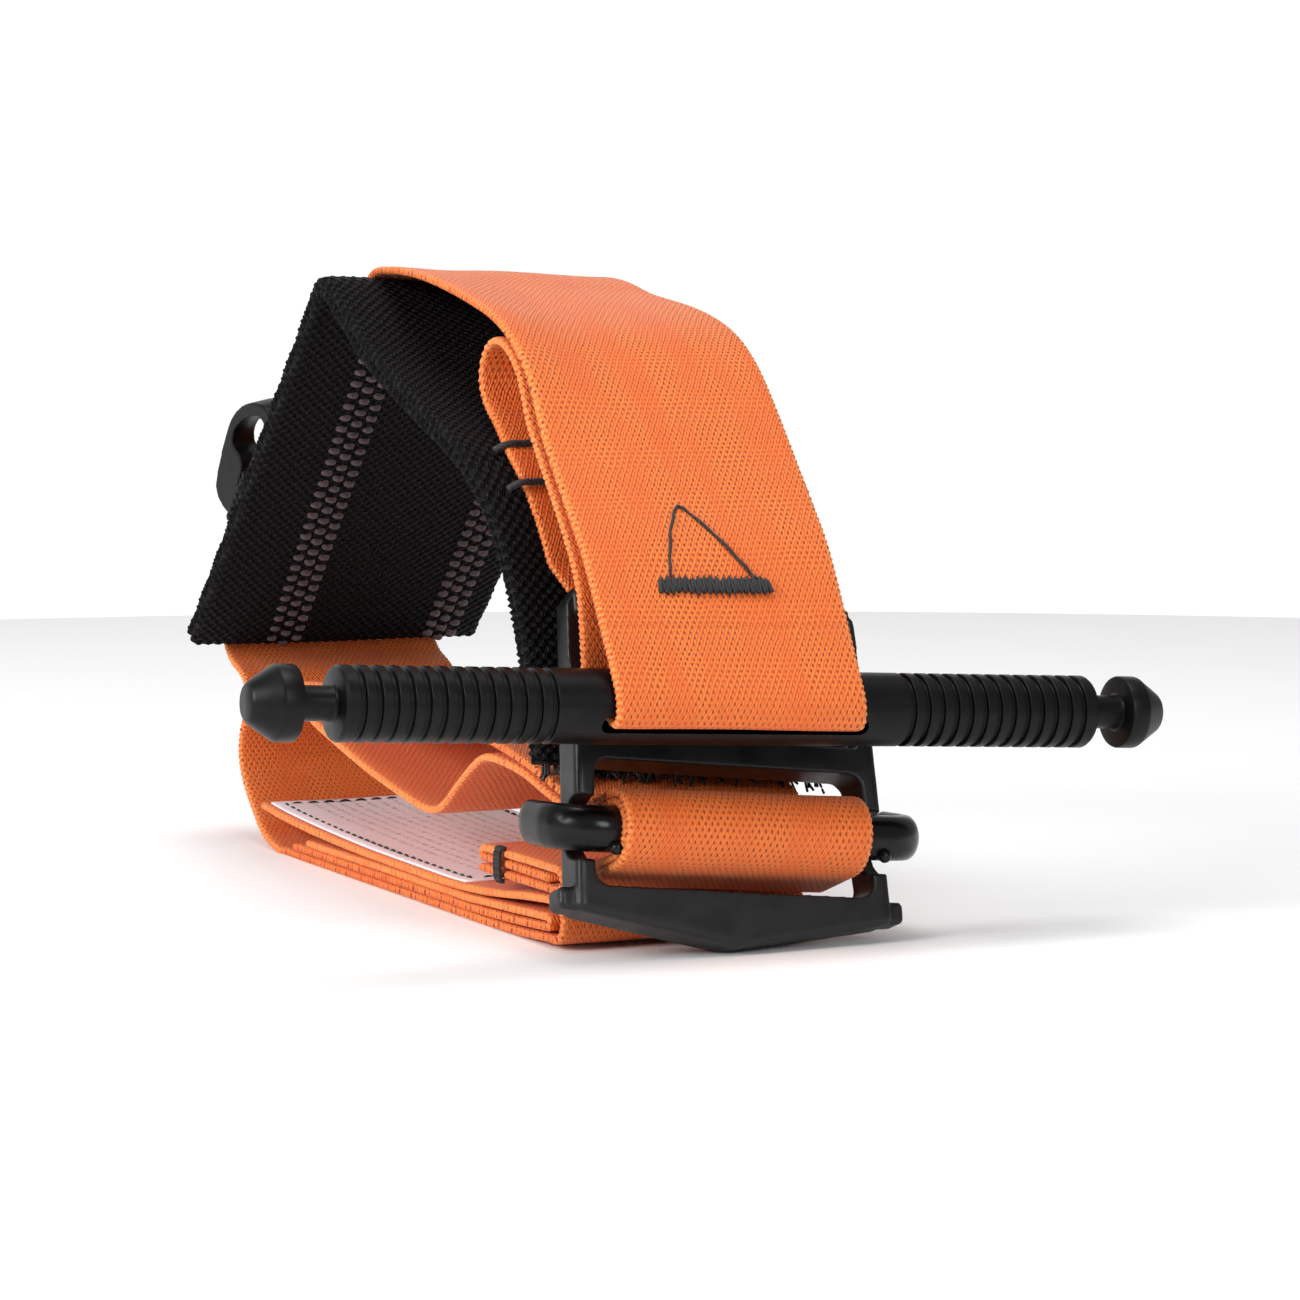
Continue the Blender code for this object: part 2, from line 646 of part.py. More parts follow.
def build_lock_ring(mat):
    """A three-sided ring standing up from the back panel on its long side."""
    foot, slope, out = ring_axes()
    half = RING_LENGTH / 2 - RING_TUBE
    rise = RING_HEIGHT - 2 * RING_TUBE
    corners = [(half - 2.6, 2.6, 2.6, -90, 8), (half - 6.0, rise - 4.4, 4.4, 8, 90),
               (-half + 5.0, rise - 4.4, 4.4, 90, 172), (-half + 2.6, 2.6, 2.6, 172, 270)]
    lean = Matrix.Rotation(-RING_LEAN, 3, slope)
    points = []
    for along, high, radius, start, end in corners:
        for s, n in arc(along, high, radius, start, end, 4):
            points.append(lean @ (slope * s + out * n))
    points += [slope * (-half + 2.6 + (2 * half - 5.2) * k / 4) for k in range(1, 4)]
    ring = tube("lock_ring", points, [RING_TUBE] * len(points), mat, sides=12, closed=True)
    ring.location = foot * MM
    return ring


def build_keeper(mat):
    """A short webbing keeper over the ring's long side, its ends flat on the panel."""
    foot, slope, out = ring_axes()
    low = -3.2 + 0.55
    profile = [(-6.4, low), (-4.6, low), (-3.3, low + 0.4), (-2.6, -0.6)]
    profile += arc(0.0, 0.0, 2.6, 170, 10, 8)
    profile += [(2.6, -0.6), (3.3, low + 0.4), (4.6, low), (8.0, low)]
    verts = []
    for i, (x, n) in enumerate(profile):
        ahead = Vector(profile[min(i + 1, len(profile) - 1)])
        behind = Vector(profile[max(i - 1, 0)])
        along = (ahead - behind).normalized()
        for side in (-0.5, 0.5):
            base = Vector((x - along.y * side, 0.0, 0.0)) + out * (n + along.x * side)
            for reach in (-KEEPER_W / 2, KEEPER_W / 2):
                verts.append(foot + base + slope * reach)
    faces = []
    for i in range(len(profile) - 1):
        a, b = 4 * i, 4 * i + 4
        for p, q in ((0, 1), (1, 3), (3, 2), (2, 0)):
            faces.append((a + p, a + q, b + q, b + p))
    last = 4 * (len(profile) - 1)
    faces += [(0, 1, 3, 2), (last + 2, last + 3, last + 1, last)]
    return mesh_object("lock_ring_keeper", verts, faces, mat)


def main():
    clear_scene()
    orange = material("orange_webbing", (0.80, 0.17, 0.03), 0.7)
    black_webbing = material("black_webbing", (0.015, 0.015, 0.016), 0.85)
    metal = material("black_anodised", (0.02, 0.02, 0.021), 0.35, 0.9)
    plastic = material("black_moulding", (0.02, 0.02, 0.022), 0.4)
    gloss = material("black_gloss", (0.015, 0.015, 0.017), 0.2)
    thread_black = material("black_thread", (0.012, 0.012, 0.012), 0.7)
    paper = material("label_cloth", (0.85, 0.78, 0.78), 0.8)

    build_windlass(metal)
    ribbon("windlass_strap_loop", windlass_loop_path(), STRAP_W, STRAP_T, orange)
    build_buckle(plastic)
    build_slider(gloss)
    outer = SLIDER_R + 2.5 * GAP + 1.5 * STRAP_T
    inner = SLIDER_R + 1.5 * GAP + STRAP_T / 2
    ribbon("slider_strap_outer", slider_wrap(outer, 3.8), STRAP_W, STRAP_T, orange)
    ribbon("slider_strap_inner", slider_wrap(inner, 3.2), STRAP_W, STRAP_T, orange)
    base_layer("base_webbing_outer", BASE_T / 2, black_webbing)
    base_layer("base_webbing_inner", BASE_T * 1.5 + GAP, black_webbing)
    ribbon("front_strap_panel", front_panel_path(), STRAP_W, STRAP_T, orange)
    ribbon("rear_strap_panel", rear_panel_path(), STRAP_W, STRAP_T, orange)
    ribbon("strap_fold_loop", fold_path(), STRAP_W, STRAP_T, orange)
    ribbon("buckle_anchor_strap", anchor_path(), ANCHOR_W, STRAP_T, orange)
    ribbon("strap_back_turn", back_turn_path(), STRAP_W, STRAP_T, orange)
    ribbon("strap_ground_layer", floor_path(), STRAP_W, STRAP_T, orange)
    ribbon("strap_inner_fold", inner_fold_path(), STRAP_W, STRAP_T, orange)
    ribbon("strap_tail", tail_path(), STRAP_W, STRAP_T, orange)
    ribbon("strap_tail_end", tail_end_path(), STRAP_W, STRAP_T, orange)
    build_label(paper)
    build_stitching(thread_black)
    build_lock_ring(plastic)
    build_keeper(black_webbing)
    for obj in bpy.context.scene.objects:
        obj.location.y -= CENTRE_Y * MM


main()
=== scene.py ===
"""A folded windlass tourniquet: its webbing, moulded buckle, twisting rod and label.

The pieces follow the same lines as the solid model. Lines are laid out in millimetres and
scaled to metres, and moved back by CENTRE_Y, as each mesh is made.
"""

import math

import bpy
import numpy as np
from mathutils import Matrix, Vector


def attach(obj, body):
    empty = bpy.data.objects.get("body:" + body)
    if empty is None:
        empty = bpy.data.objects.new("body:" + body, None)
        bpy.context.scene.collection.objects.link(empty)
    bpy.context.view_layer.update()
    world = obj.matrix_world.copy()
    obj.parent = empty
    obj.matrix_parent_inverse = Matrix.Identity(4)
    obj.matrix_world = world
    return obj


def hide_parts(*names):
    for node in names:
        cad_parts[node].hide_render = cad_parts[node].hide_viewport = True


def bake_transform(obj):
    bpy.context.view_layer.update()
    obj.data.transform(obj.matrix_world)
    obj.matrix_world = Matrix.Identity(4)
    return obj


MM = 0.001
CENTRE_Y = 73.48
GAP = 0.3

STRAP_W = 38.1
STRAP_T = 1.2
BASE_W = 51.4
BASE_T = 3.5
KNOB_U = 1.75
KNOB_S = 1.85
STRIPE_W = 6.6
GRIP_U = 4.4
GRIP_S = 2.7
YARNS = 120

ROD_LENGTH = 139.7
ROD_R = 5.2
ROD_CENTRE = (0.0, -0.7, 34.8)
ROD_TILT = math.radians(3.0)
GROOVES = 13
GROOVE_START = 14.4
GROOVE_PITCH = 2.3
GROOVE_WIDTH = 0.9
GROOVE_DEPTH = 0.6
SLOT_LENGTH = 40.8
SLOT_HEIGHT = 2.6
SLOT_ANGLE = math.radians(25.0)

FRAME_TIP = (2.3, 1.2, 0.4)
FRAME_LEAN = math.radians(20.5)
FRAME_TILT = math.radians(6.0)
TOP_BAR_W = 49.1
TOP_BAR_R = 2.3
ANCHOR_U = -0.3

SLIDER_U = 1.3
SLIDER_V = -3.9
SLIDER_W = 16.0
SLIDER_ROLL = math.radians(-1.2)
SLIDER_PITCH = math.radians(18.0)
SLIDER_STRAP_U = -0.3
SLIDER_R = 3.25
SLIDER_BEND = 5.8
SLIDER_STRAIGHT = 22.2
SLIDER_TAIL = 4.6
SLIDER_END_R = 1.65
SLIDER_NUB = 21.0

BACK_SLOPE = Vector((0.0, 0.737, -0.676))
BACK_OUT = Vector((0.0, 0.676, 0.737))
RING_FOOT = (-18.4, 128.6, 56.9)
RING_RISE = 3.2
RING_LEAN = math.radians(15.0)
RING_HALF = 1.5
RING_STEPS = 96

LABEL_X = -0.2
LABEL_W = 36.0
LABEL_T = 0.4

AMBIENT = 0.3
TABLE_R = 620.0
WALL = 1.05
LIGHTS = (("key", (-0.95, -0.2, 0.5), (0.0, 0.0, 0.03), 0.5, 9.0),
          ("top", (0.0, -0.1, 1.2), (0.0, 0.0, 0.03), 0.8, 7.5),
          ("front", (0.0, -1.25, 0.6), (0.0, 0.0, 0.04), 0.5, 5.0))
EYE = (-255.5, -524.7, 93.5)
EYE_TURN = math.radians(25.0)
EYE_DIP = math.radians(4.97)
LENS = 117.3

RANDOM = np.random.default_rng(7)


# ---- lines

def arc(cy, cz, radius, start, end, steps):
    """Points (y, z) on an arc, angles in degrees from +Y toward +Z."""
    angles = [math.radians(start + (end - start) * i / steps) for i in range(steps + 1)]
    return [(cy + radius * math.cos(a), cz + radius * math.sin(a)) for a in angles]


def padded(points):
    """Every point as (y, z, x, tilt)."""
    return [tuple(p) + (0.0,) * (4 - len(p)) for p in points]


def smooth(points, per_span=4):
    """A soft curve through the points (Catmull-Rom)."""
    points = padded(points)
    chain = np.array([points[0], *points, points[-1]])
    curve = []
    for i in range(1, len(chain) - 2):
        before, here, there, after = chain[i - 1:i + 3]
        for k in range(per_span):
            t = k / per_span
            curve.append(tuple(0.5 * (2 * here + (there - before) * t
                                      + (2 * before - 5 * here + 4 * there - after) * t * t
                                      + (3 * here - before - 3 * there + after) * t ** 3)))
    curve.append(tuple(chain[-1]))
    return curve


def offset(points, distance):
    """Shift a line sideways: positive goes to the left of its direction of travel."""
    line = np.array(padded(points))
    along = np.gradient(line[:, :2], axis=0)
    along /= np.linalg.norm(along, axis=1)[:, None]
    line[:, 0] -= along[:, 1] * distance
    line[:, 1] += along[:, 0] * distance
    return [tuple(p) for p in line]


def even(points, step, soften=1.0):
    """The line resampled at an even step, with its corners softened over `soften` mm."""
    line = np.array(padded(points))
    gaps = np.linalg.norm(np.diff(line[:, :3], axis=0), axis=1)
    keep = np.concatenate([[True], gaps > 1e-6])
    line = line[keep]
    run = np.concatenate([[0.0], np.cumsum(gaps[keep[1:]])])
    count = max(2, int(round(run[-1] / step)))
    stops = np.linspace(0.0, run[-1], count + 1)
    out = np.stack([np.interp(stops, run, line[:, k]) for k in range(4)], axis=1)
    reach = max(1, int(round(soften / step)))
    weights = np.hanning(2 * reach + 3)[1:-1]
    weights /= weights.sum()
    half = len(weights) // 2
    for k in range(4):
        ends = np.pad(out[:, k], half, mode="reflect", reflect_type="odd")
        out[:, k] = np.convolve(ends, weights, mode="valid")
    return out


def frame_matrix():
    """From the buckle frame's own axes to the layout, in millimetres."""
    turn = Matrix.Rotation(FRAME_TILT, 4, "Y") @ Matrix.Rotation(-FRAME_LEAN, 4, "X")
    return Matrix.Translation(FRAME_TIP) @ turn


def in_frame(u, v, w):
    """A point given in the buckle frame's axes, as a layout point."""
    return frame_matrix() @ Vector((u, v, w))


def frame_station(v, w, u=0.0):
    """A line point given in the buckle frame's axes."""
    point = in_frame(u, v, w)
    return (point.y, point.z, point.x, FRAME_TILT)


def in_rod(a, b):
    """A (y, z) point from the rod's slot axes: a through the slot to the back, b up."""
    cos, sin = math.cos(SLOT_ANGLE), math.sin(SLOT_ANGLE)
    return (ROD_CENTRE[1] + a * cos - b * sin, ROD_CENTRE[2] + a * sin + b * cos)


def base_outer_line():
    """The outer face of the folded base, from the end of its back leg to its front end."""
    return [(152.4, 35.05), (131.5, 54.2), (110.0, 73.9), (96.5, 86.5), (91.5, 91.7),
            (87.2, 93.5), (81.0, 90.5), (68.7, 84.1), (48.8, 76.5), (34.6, 71.1, 0.2, 0.0),
            (28.9, 65.9, 1.4, 0.0), (26.2, 59.4, 3.0, 0.01), (25.1, 52.9, 4.4, 0.03),
            (24.0, 46.4, 5.4, 0.05), (22.0, 38.9, 5.8, 0.07), (18.3, 24.3, 6.1, 0.08)]


def panel_line():
    """Strap down the back leg, over the apex and down the front to the rod's loop."""
    lift = STRAP_T / 2 + GAP
    slope = [(150.5, 36.8), (131.5, 54.2), (110.0, 73.9), (96.8, 86.8)]
    back = [(y + BACK_OUT.y * lift, z + BACK_OUT.z * lift) for y, z in slope]
    return [*back, (92.8, 92.1), (88.8, 94.7), (84.4, 95.3), (74.0, 94.7), (60.0, 92.2),
            (46.0, 88.9), (36.0, 86.2), (28.8, 82.4), (22.0, 76.2), (10.8, 63.4),
            (5.0, 56.6), (0.9, 50.1)]


def loop_line():
    """Strap down the front of the rod, in through its slot and up behind it."""
    cy, cz = ROD_CENTRE[1], ROD_CENTRE[2]
    turn = math.degrees(SLOT_ANGLE)
    line = [(-2.1, 44.9), (-4.2, 41.3)]
    line += arc(cy, cz, 6.3, 148, 186, 4)
    line += [in_rod(a, b) for a, b in arc(-4.55, 1.5, 1.55, 186, 270, 6)]
    line.append(in_rod(0.0, -0.05))
    line += [in_rod(a, b) for a, b in arc(4.6, 1.75, 1.8, 270, 353 - turn, 5)]
    return line + [(4.9, 41.4), (5.3, 45.4)]


def fold_line():
    """Strap up behind the front panel, over a soft fold and down onto the base."""
    return [(6.0, 50.2), (8.8, 55.8), (13.6, 62.2), (20.4, 70.0), (25.6, 76.4),
            (29.8, 81.0), (33.6, 83.2), (36.8, 83.0), (38.8, 80.8), (38.7, 77.6),
            (37.2, 75.1), (34.6, 72.7)]


def anchor_line():
    """Strap down the front leg of the base and once round the buckle's top bar."""
    wrap_r = TOP_BAR_R + GAP + STRAP_T / 2
    base = offset(smooth(base_outer_line(), 2), -GAP - STRAP_T / 2)
    down = [(y, z, x - 0.8, tilt) for y, z, x, tilt in base if 52.4 < z < 70.3 and y < 40.0]
    wrap = [frame_station(v, w, ANCHOR_U) for v, w in
            arc(0.0, TOP_BAR_W, wrap_r, 20, -235, 14)]
    return down + wrap


def back_turn_line():
    """Strap off the end of the back leg, bowing inward and out again to the ground."""
    lap = [(152.0, 36.6), *arc(153.0, 34.5, 0.95, 47, -42, 4), (151.3, 31.3)]
    bow = smooth([(149.4, 29.9), (146.2, 28.8), (143.4, 27.4), (142.0, 24.6),
                  (143.0, 21.0), (145.0, 18.2), (145.8, 14.4), (144.0, 10.6),
                  (140.4, 7.0), (134.0, 2.4), (126.0, 0.6)], 3)
    return padded(lap) + bow


def part_way(value, low, high):
    """How far the value is from low to high, held between 0 and 1."""
    return min(1.0, max(0.0, (value - low) / (high - low)))


def pressed(points):
    """The stored layers lie tight on each other behind the buckle."""
    line = []
    for y, z, x, tilt in padded(points):
        squeeze = 1.0 - 0.19 * part_way(y, 28.0, 54.0)
        line.append((y, 0.6 + (z - 0.6) * squeeze, x, tilt))
    return line


def stack_top_line():
    """The top layer of the stored strap, from its front fold to the back."""
    return [(18.0, 6.8), (26.0, 6.2), (40.0, 5.3), (60.0, 5.15), (90.0, 5.7),
            (112.0, 6.5), (127.0, 7.5), (135.0, 8.4)]


def upper_strap_line():
    """The strap from the ground up over the base, round the rod, over the soft fold and
    down to the buckle's top bar."""
    line = back_turn_line()[::-1][:-1] + smooth(panel_line(), 4) + loop_line()
    line += smooth(fold_line(), 4)
    turned = []
    for y, z, x, _ in padded(line):
        near_rod = part_way(z, 58.0, 40.0) if y < 30.0 else 0.0
        behind = part_way(y, 62.0, 84.0) * part_way(z, 44.0, 74.0)
        turned.append((y, z, x + 2.0 * behind, ROD_TILT * near_rod))
    return turned + anchor_line()


def ground_line():
    """The ground layer: forward to a soft front fold and back along the top."""
    ground = [(125.6, 0.6), (90.0, 0.6), (50.0, 0.6), (38.0, 0.6), (27.0, 0.8), (17.0, 1.3)]
    fold = arc(14.6, 4.1, 2.8, 262, 95, 8)
    return pressed(padded(ground + fold) + smooth(stack_top_line(), 2))


def inner_fold_line():
    """Two layers folded together inside the ground layer's fold."""
    fold = arc(17.0, 3.6, 0.75, 270, 90, 6)
    return pressed([(120.0, 2.12), (46.0, 2.12), (30.0, 2.3), *fold, (30.0, 3.85),
                    (46.0, 3.62), (114.0, 3.62)])


def tail_line():
    """Spare strap behind the slider: back over a ridge and a valley, and forward again."""
    low = frame_station(6.6, SLIDER_W + SLIDER_R + 0.7, SLIDER_STRAP_U)
    high = frame_station(6.9, SLIDER_W + SLIDER_R + 2.0, SLIDER_STRAP_U)
    under = [low, (20.0, 20.0, 1.6, 0.06), (28.0, 23.2, 0.6, 0.03), (37.0, 24.8),
             (42.5, 23.8), (50.0, 19.6), (56.5, 15.6), (62.0, 14.6), (70.0, 15.4),
             (88.0, 18.2), (106.0, 22.0), (114.0, 24.2), (117.6, 26.6), (114.6, 28.8)]
    over = [(96.0, 29.4), (66.0, 29.2), (48.0, 28.2), (36.0, 27.0), (26.0, 24.6, 0.6, 0.03),
            (18.6, 21.4, 1.8, 0.06), high]
    return smooth(under + over, 3)


def tail_end_line():
    """The end of the tail, rolled flat on itself behind the buckle."""
    low, middle, high = 8.45, 9.95, 11.45
    front = arc(13.6, middle, high - middle, 270, 90, 8)
    back = arc(40.6, (middle + high) / 2, (high - middle) / 2, 90, -90, 6)
    return [(41.4, low), *front, *back, (17.0, middle)]


def slider_wrap_line(radius, tail):
    """Strap round the slider bar, open to the back."""
    outline = [(tail, SLIDER_W + radius)]
    outline += arc(SLIDER_V, SLIDER_W, radius, 90, 270, 12)
    outline.append((tail, SLIDER_W - radius))
    points = [in_frame(SLIDER_STRAP_U, v, w) for v, w in outline]
    return [(p.y, p.z, p.x, FRAME_TILT + SLIDER_ROLL) for p in points]


# ---- meshes

def to_metres(points):
    """Layout millimetres to metres in the shared frame."""
    return (np.asarray(points, float) - np.array([0.0, CENTRE_Y, 0.0])) * MM


def make_object(name, points, faces, mat, attribute=None):
    """A smooth-shaded object from millimetre points; `attribute` is stored as "weave"."""
    mesh = bpy.data.meshes.new(name)
    mesh.from_pydata(to_metres(points).tolist(), [], faces)
    mesh.shade_smooth()
    mesh.materials.append(mat)
    if attribute is not None:
        layer = mesh.attributes.new("weave", "FLOAT_VECTOR", "POINT")
        layer.data.foreach_set("vector", np.asarray(attribute, np.float32).ravel())
    obj = bpy.data.objects.new(name, mesh)
    bpy.context.scene.collection.objects.link(obj)
    return obj


def grid_faces(rows, columns, closed_rows=False, flip=False):
    """Quads of a grid of points whose columns close into a loop."""
    faces = []
    for i in range(rows if closed_rows else rows - 1):
        a, b = i * columns, ((i + 1) % rows) * columns
        for k in range(columns):
            n = (k + 1) % columns
            quad = (a + k, a + n, b + n, b + k)
            faces.append(quad[::-1] if flip else quad)
    return faces


def section(width, thick, columns, layers=1):
    """A strap's cross-section loop as (across, up, edge): edge is -1, 0 or 1."""
    radius = thick / 2 / layers
    flat = np.linspace(-width / 2 + radius, width / 2 - radius, columns + 1)
    loop = [(a, thick / 2, 0) for a in flat]
    for side, order in ((1, range(layers)), (-1, reversed(range(layers)))):
        for layer in order:
            middle = thick / 2 - radius * (2 * layer + 1)
            for angle in np.radians([60, 30, 0, -30, -60]):
                rise = math.sin(angle) * side
                loop.append((side * (width / 2 - radius + radius * math.cos(angle)),
                             middle + radius * rise, side))
        if side == 1:
            loop += [(a, -thick / 2, 0) for a in flat[::-1]]
    return np.array(loop)


def spread(line):
    """Centre, across and normal vectors at every station of an even line."""
    centre = line[:, [2, 0, 1]]
    along = np.gradient(centre, axis=0)
    along /= np.linalg.norm(along, axis=1)[:, None]
    across = np.stack([np.cos(line[:, 3]), np.zeros(len(line)), -np.sin(line[:, 3])], axis=1)
    normal = np.cross(along, across)
    normal /= np.linalg.norm(normal, axis=1)[:, None]
    return centre, across, normal


def ease(low, high, values):
    """0 before low, 1 after high, soft between; low may be above high."""
    part = np.clip((values - low) / (high - low), 0.0, 1.0)
    return part * part * (3 - 2 * part)


def no_lift(u, y, z):
    """Cloth that lies flat."""
    return 0.0


def stripe_lift(shift):
    """The base's lift, for a stripe whose middle is `shift` to the right of the base's."""
    return lambda u, y, z: corner_lift(u + shift, y, z)


def corner_lift(u, y, z):
    """The base's left side stands a little higher at the crest and down the back leg."""
    return 0.9 * ease(5.0, 25.0, -u) * ease(66.0, 84.0, y) * (1.0 - 0.6 * ease(92.0, 150.0, y))


def crest_lift(u, y, z):
    """The left edge of the strap curls up on its way over the crest, and the right sags."""
    left = ease(1.0, 19.0, -u) ** 1.5
    right = ease(-6.0, 19.0, u)
    over = ease(16.0, 27.0, y) * ease(84.0, 60.0, y)
    crest = ease(42.0, 66.0, y) * ease(118.0, 92.0, y)
    return 2.1 * left * over - crest * (0.7 + 1.0 * right) + corner_lift(u, y, z)


def fold_lift(u, y, z):
    """The soft fold opens wider at its left edge."""
    return -1.7 * ease(2.0, 19.0, -u) * ease(73.0, 80.0, z)


def waves(u, s, seed, size):
    """Slow unevenness of hand-folded cloth, in millimetres."""
    rng = np.random.default_rng(seed)
    total = 0.0
    for _ in range(5):
        ku, ks = rng.uniform(0.02, 0.16, 2)
        total = total + np.sin(u * ku * 2 + s * ks + rng.uniform(0, 6.3))
    return total * size / 5


def sweep(name, centre, across, normal, run, width, thick, mat, columns=26, layers=1,
          relief=None, seed=1, bead=0.14, wave=0.12, lift=no_lift):
    """A webbing strap through given stations, with beaded edges and a slightly uneven face."""
    loop = section(width, thick, columns, layers)
    u, b, edge = loop[:, 0][None, :], loop[:, 1][None, :], loop[:, 2][None, :]
    s = run[:, None]
    out = u + edge * bead * np.sin(2 * np.pi * s / 0.95 + b)
    rise = b + waves(u, s, seed, wave) + lift(u, centre[:, 1:2], centre[:, 2:3])
    if relief is not None:
        rise = rise + np.sign(b) * (edge == 0) * relief(u, s)
        out = out + edge * relief(u, s) * 0.8
    points = (centre[:, None, :] + across[:, None, :] * out[:, :, None]
              + normal[:, None, :] * rise[:, :, None])
    rows, count = points.shape[:2]
    faces = grid_faces(rows, count, flip=True)
    faces.append(tuple(range(count)))
    faces.append(tuple(range(rows * count - 1, (rows - 1) * count - 1, -1)))
    weave = np.stack(np.broadcast_arrays(out, s, b), axis=2)
    return make_object(name, points.reshape(-1, 3), faces, mat, weave.reshape(-1, 3))


def strip(name, points, width, thick, mat, step=0.35, soften=1.0, cut=None, **looks):
    """A strap swept along a line; `cut` picks a stretch of the evened line."""
    line = even(points, step, soften)
    centre, across, normal = spread(line)
    run = np.arange(len(line)) * step
    if cut is not None:
        chosen = slice(*cut(line))
        centre, across, normal, run = (v[chosen] for v in (centre, across, normal, run))
    return sweep(name, centre, across, normal, run, width, thick, mat, **looks)


def tube(name, centres, radii, mat, sides, flat=None):
    """A round tube through layout points; `flat` squeezes it sideways."""
    centres = [Vector(c) for c in centres]
    count = len(centres)
    verts = []
    for i, centre in enumerate(centres):
        along = (centres[min(i + 1, count - 1)] - centres[max(i - 1, 0)]).normalized()
        up = Vector((0.0, 0.0, 1.0)) if abs(along.z) < 0.9 else Vector((0.0, 1.0, 0.0))
        side = along.cross(up).normalized()
        up = side.cross(along)
        squeeze = flat[i] if flat else 1.0
        for k in range(sides):
            angle = 2 * math.pi * k / sides
            verts.append(centre + side * math.cos(angle) * radii[i] * squeeze
                         + up * math.sin(angle) * radii[i])
    faces = grid_faces(count, sides)
    faces.append(tuple(range(sides - 1, -1, -1)))
    faces.append(tuple(range((count - 1) * sides, count * sides)))
    return make_object(name, verts, faces, mat)


def thread(name, points, radius, mat, sides=8):
    """A sewn thread through layout points, softened between them."""
    fine = [p[:3] for p in smooth(points, 4)]
    return tube(name, fine, [radius] * len(fine), mat, sides)


def join(name, pieces):
    """Several pieces made one object, keeping their materials."""
    with bpy.context.temp_override(active_object=pieces[0], object=pieces[0],
                                   selected_objects=pieces,
                                   selected_editable_objects=pieces):
        bpy.ops.object.join()
    pieces[0].name = name
    return pieces[0]


def bake_modifiers(obj):
    """Apply an object's modifiers to its mesh."""
    graph = bpy.context.evaluated_depsgraph_get()
    mesh = bpy.data.meshes.new_from_object(obj.evaluated_get(graph))
    obj.modifiers.clear()
    obj.data = mesh


def soften(obj, voxel, rounds):
    """Rebuild an object's surface with soft edges, as if it came out of a mould."""
    remesh = obj.modifiers.new("remesh", "REMESH")
    remesh.mode = "VOXEL"
    remesh.voxel_size = voxel * MM
    relax = obj.modifiers.new("relax", "SMOOTH")
    relax.factor = 0.5
    relax.iterations = rounds
    bake_modifiers(obj)
    obj.data.shade_smooth()


# ---- materials

class Nodes:
    """A node tree, with short words for the nodes it is put together from."""

    def __init__(self, owner):
        owner.use_nodes = True
        self.tree = owner.node_tree

    def node(self, kind, inputs, **settings):
        made = self.tree.nodes.new(kind)
        for key, value in settings.items():
            setattr(made, key, value)
        for key, value in inputs.items():
            self.feed(made.inputs[key], value)
        return made

    def feed(self, socket, value):
        if isinstance(value, bpy.types.NodeSocket):
            self.tree.links.new(value, socket)
        else:
            socket.default_value = value

    def math(self, operation, a, b=0.0):
        return self.node("ShaderNodeMath", {0: a, 1: b}, operation=operation).outputs[0]

    def plus(self, a, b):
        return self.math("ADD", a, b)

    def times(self, a, b):
        return self.math("MULTIPLY", a, b)

    def ramp(self, value, low, high, start=0.0, end=1.0):
        """Value from low..high taken softly to start..end."""
        inputs = {"Value": value, "From Min": low, "From Max": high, "To Min": start,
                  "To Max": end}
        return self.node("ShaderNodeMapRange", inputs,
                         interpolation_type="SMOOTHSTEP").outputs["Result"]

    def blend(self, factor, a, b):
        """Colour a at factor 0, b at factor 1."""
        made = self.node("ShaderNodeMix", {0: factor, 6: a, 7: b}, data_type="RGBA")
        return made.outputs[2]

    def noise(self, scale, detail=3.0, vector=None):
        inputs = {"Scale": scale, "Detail": detail}
        if vector is not None:
            inputs["Vector"] = vector
        return self.node("ShaderNodeTexNoise", inputs).outputs[0]

    def stretched(self, vector, factors):
        return self.node("ShaderNodeVectorMath", {0: vector, 1: factors},
                         operation="MULTIPLY").outputs[0]


class Finish(Nodes):
    """One procedural material."""

    def __init__(self, name):
        self.material = bpy.data.materials.new(name)
        super().__init__(self.material)
        self.shader = self.tree.nodes["Principled BSDF"]

    def place(self):
        """The place on the object in millimetres."""
        here = self.node("ShaderNodeTexCoord", {}).outputs["Object"]
        return self.node("ShaderNodeVectorMath", {0: here, 3: 1000.0},
                         operation="SCALE").outputs[0]

    def cloth(self):
        """Across and along the cloth in millimetres, and the vector of both."""
        vector = self.node("ShaderNodeAttribute", {}, attribute_name="weave")
        vector = vector.outputs["Vector"]
        parts = self.node("ShaderNodeSeparateXYZ", {0: vector})
        return parts.outputs[0], parts.outputs[1], vector

    def done(self, colour, roughness, height=None, strength=1.0, depth=0.1, sheen=0.0,
             coat=0.0, specular=0.5):
        """Feed the shader and a bump of the given depth in millimetres; the material."""
        self.feed(self.shader.inputs["Base Color"], colour)
        self.feed(self.shader.inputs["Roughness"], roughness)
        self.shader.inputs["Sheen Weight"].default_value = sheen
        self.shader.inputs["Coat Weight"].default_value = coat
        self.shader.inputs["Specular IOR Level"].default_value = specular
        if height is not None:
            bump = self.node("ShaderNodeBump", {"Height": height, "Strength": strength,
                                                "Distance": depth * MM})
            self.feed(self.shader.inputs["Normal"], bump.outputs["Normal"])
        return self.material


def rgb(red, green, blue):
    """A screen colour, 0 to 255, as the linear value a shader wants."""
    linear = []
    for level in (red, green, blue):
        part = level / 255
        linear.append(part / 12.92 if part <= 0.04045 else ((part + 0.055) / 1.055) ** 2.4)
    return (*linear, 1.0)


def wobbled(finish, value, vector, scale, amount):
    """The value pushed about a little, so a weave isn't perfectly even."""
    push = finish.math("SUBTRACT", finish.noise(scale, 1.0, vector), 0.5)
    return finish.plus(value, finish.times(push, amount))


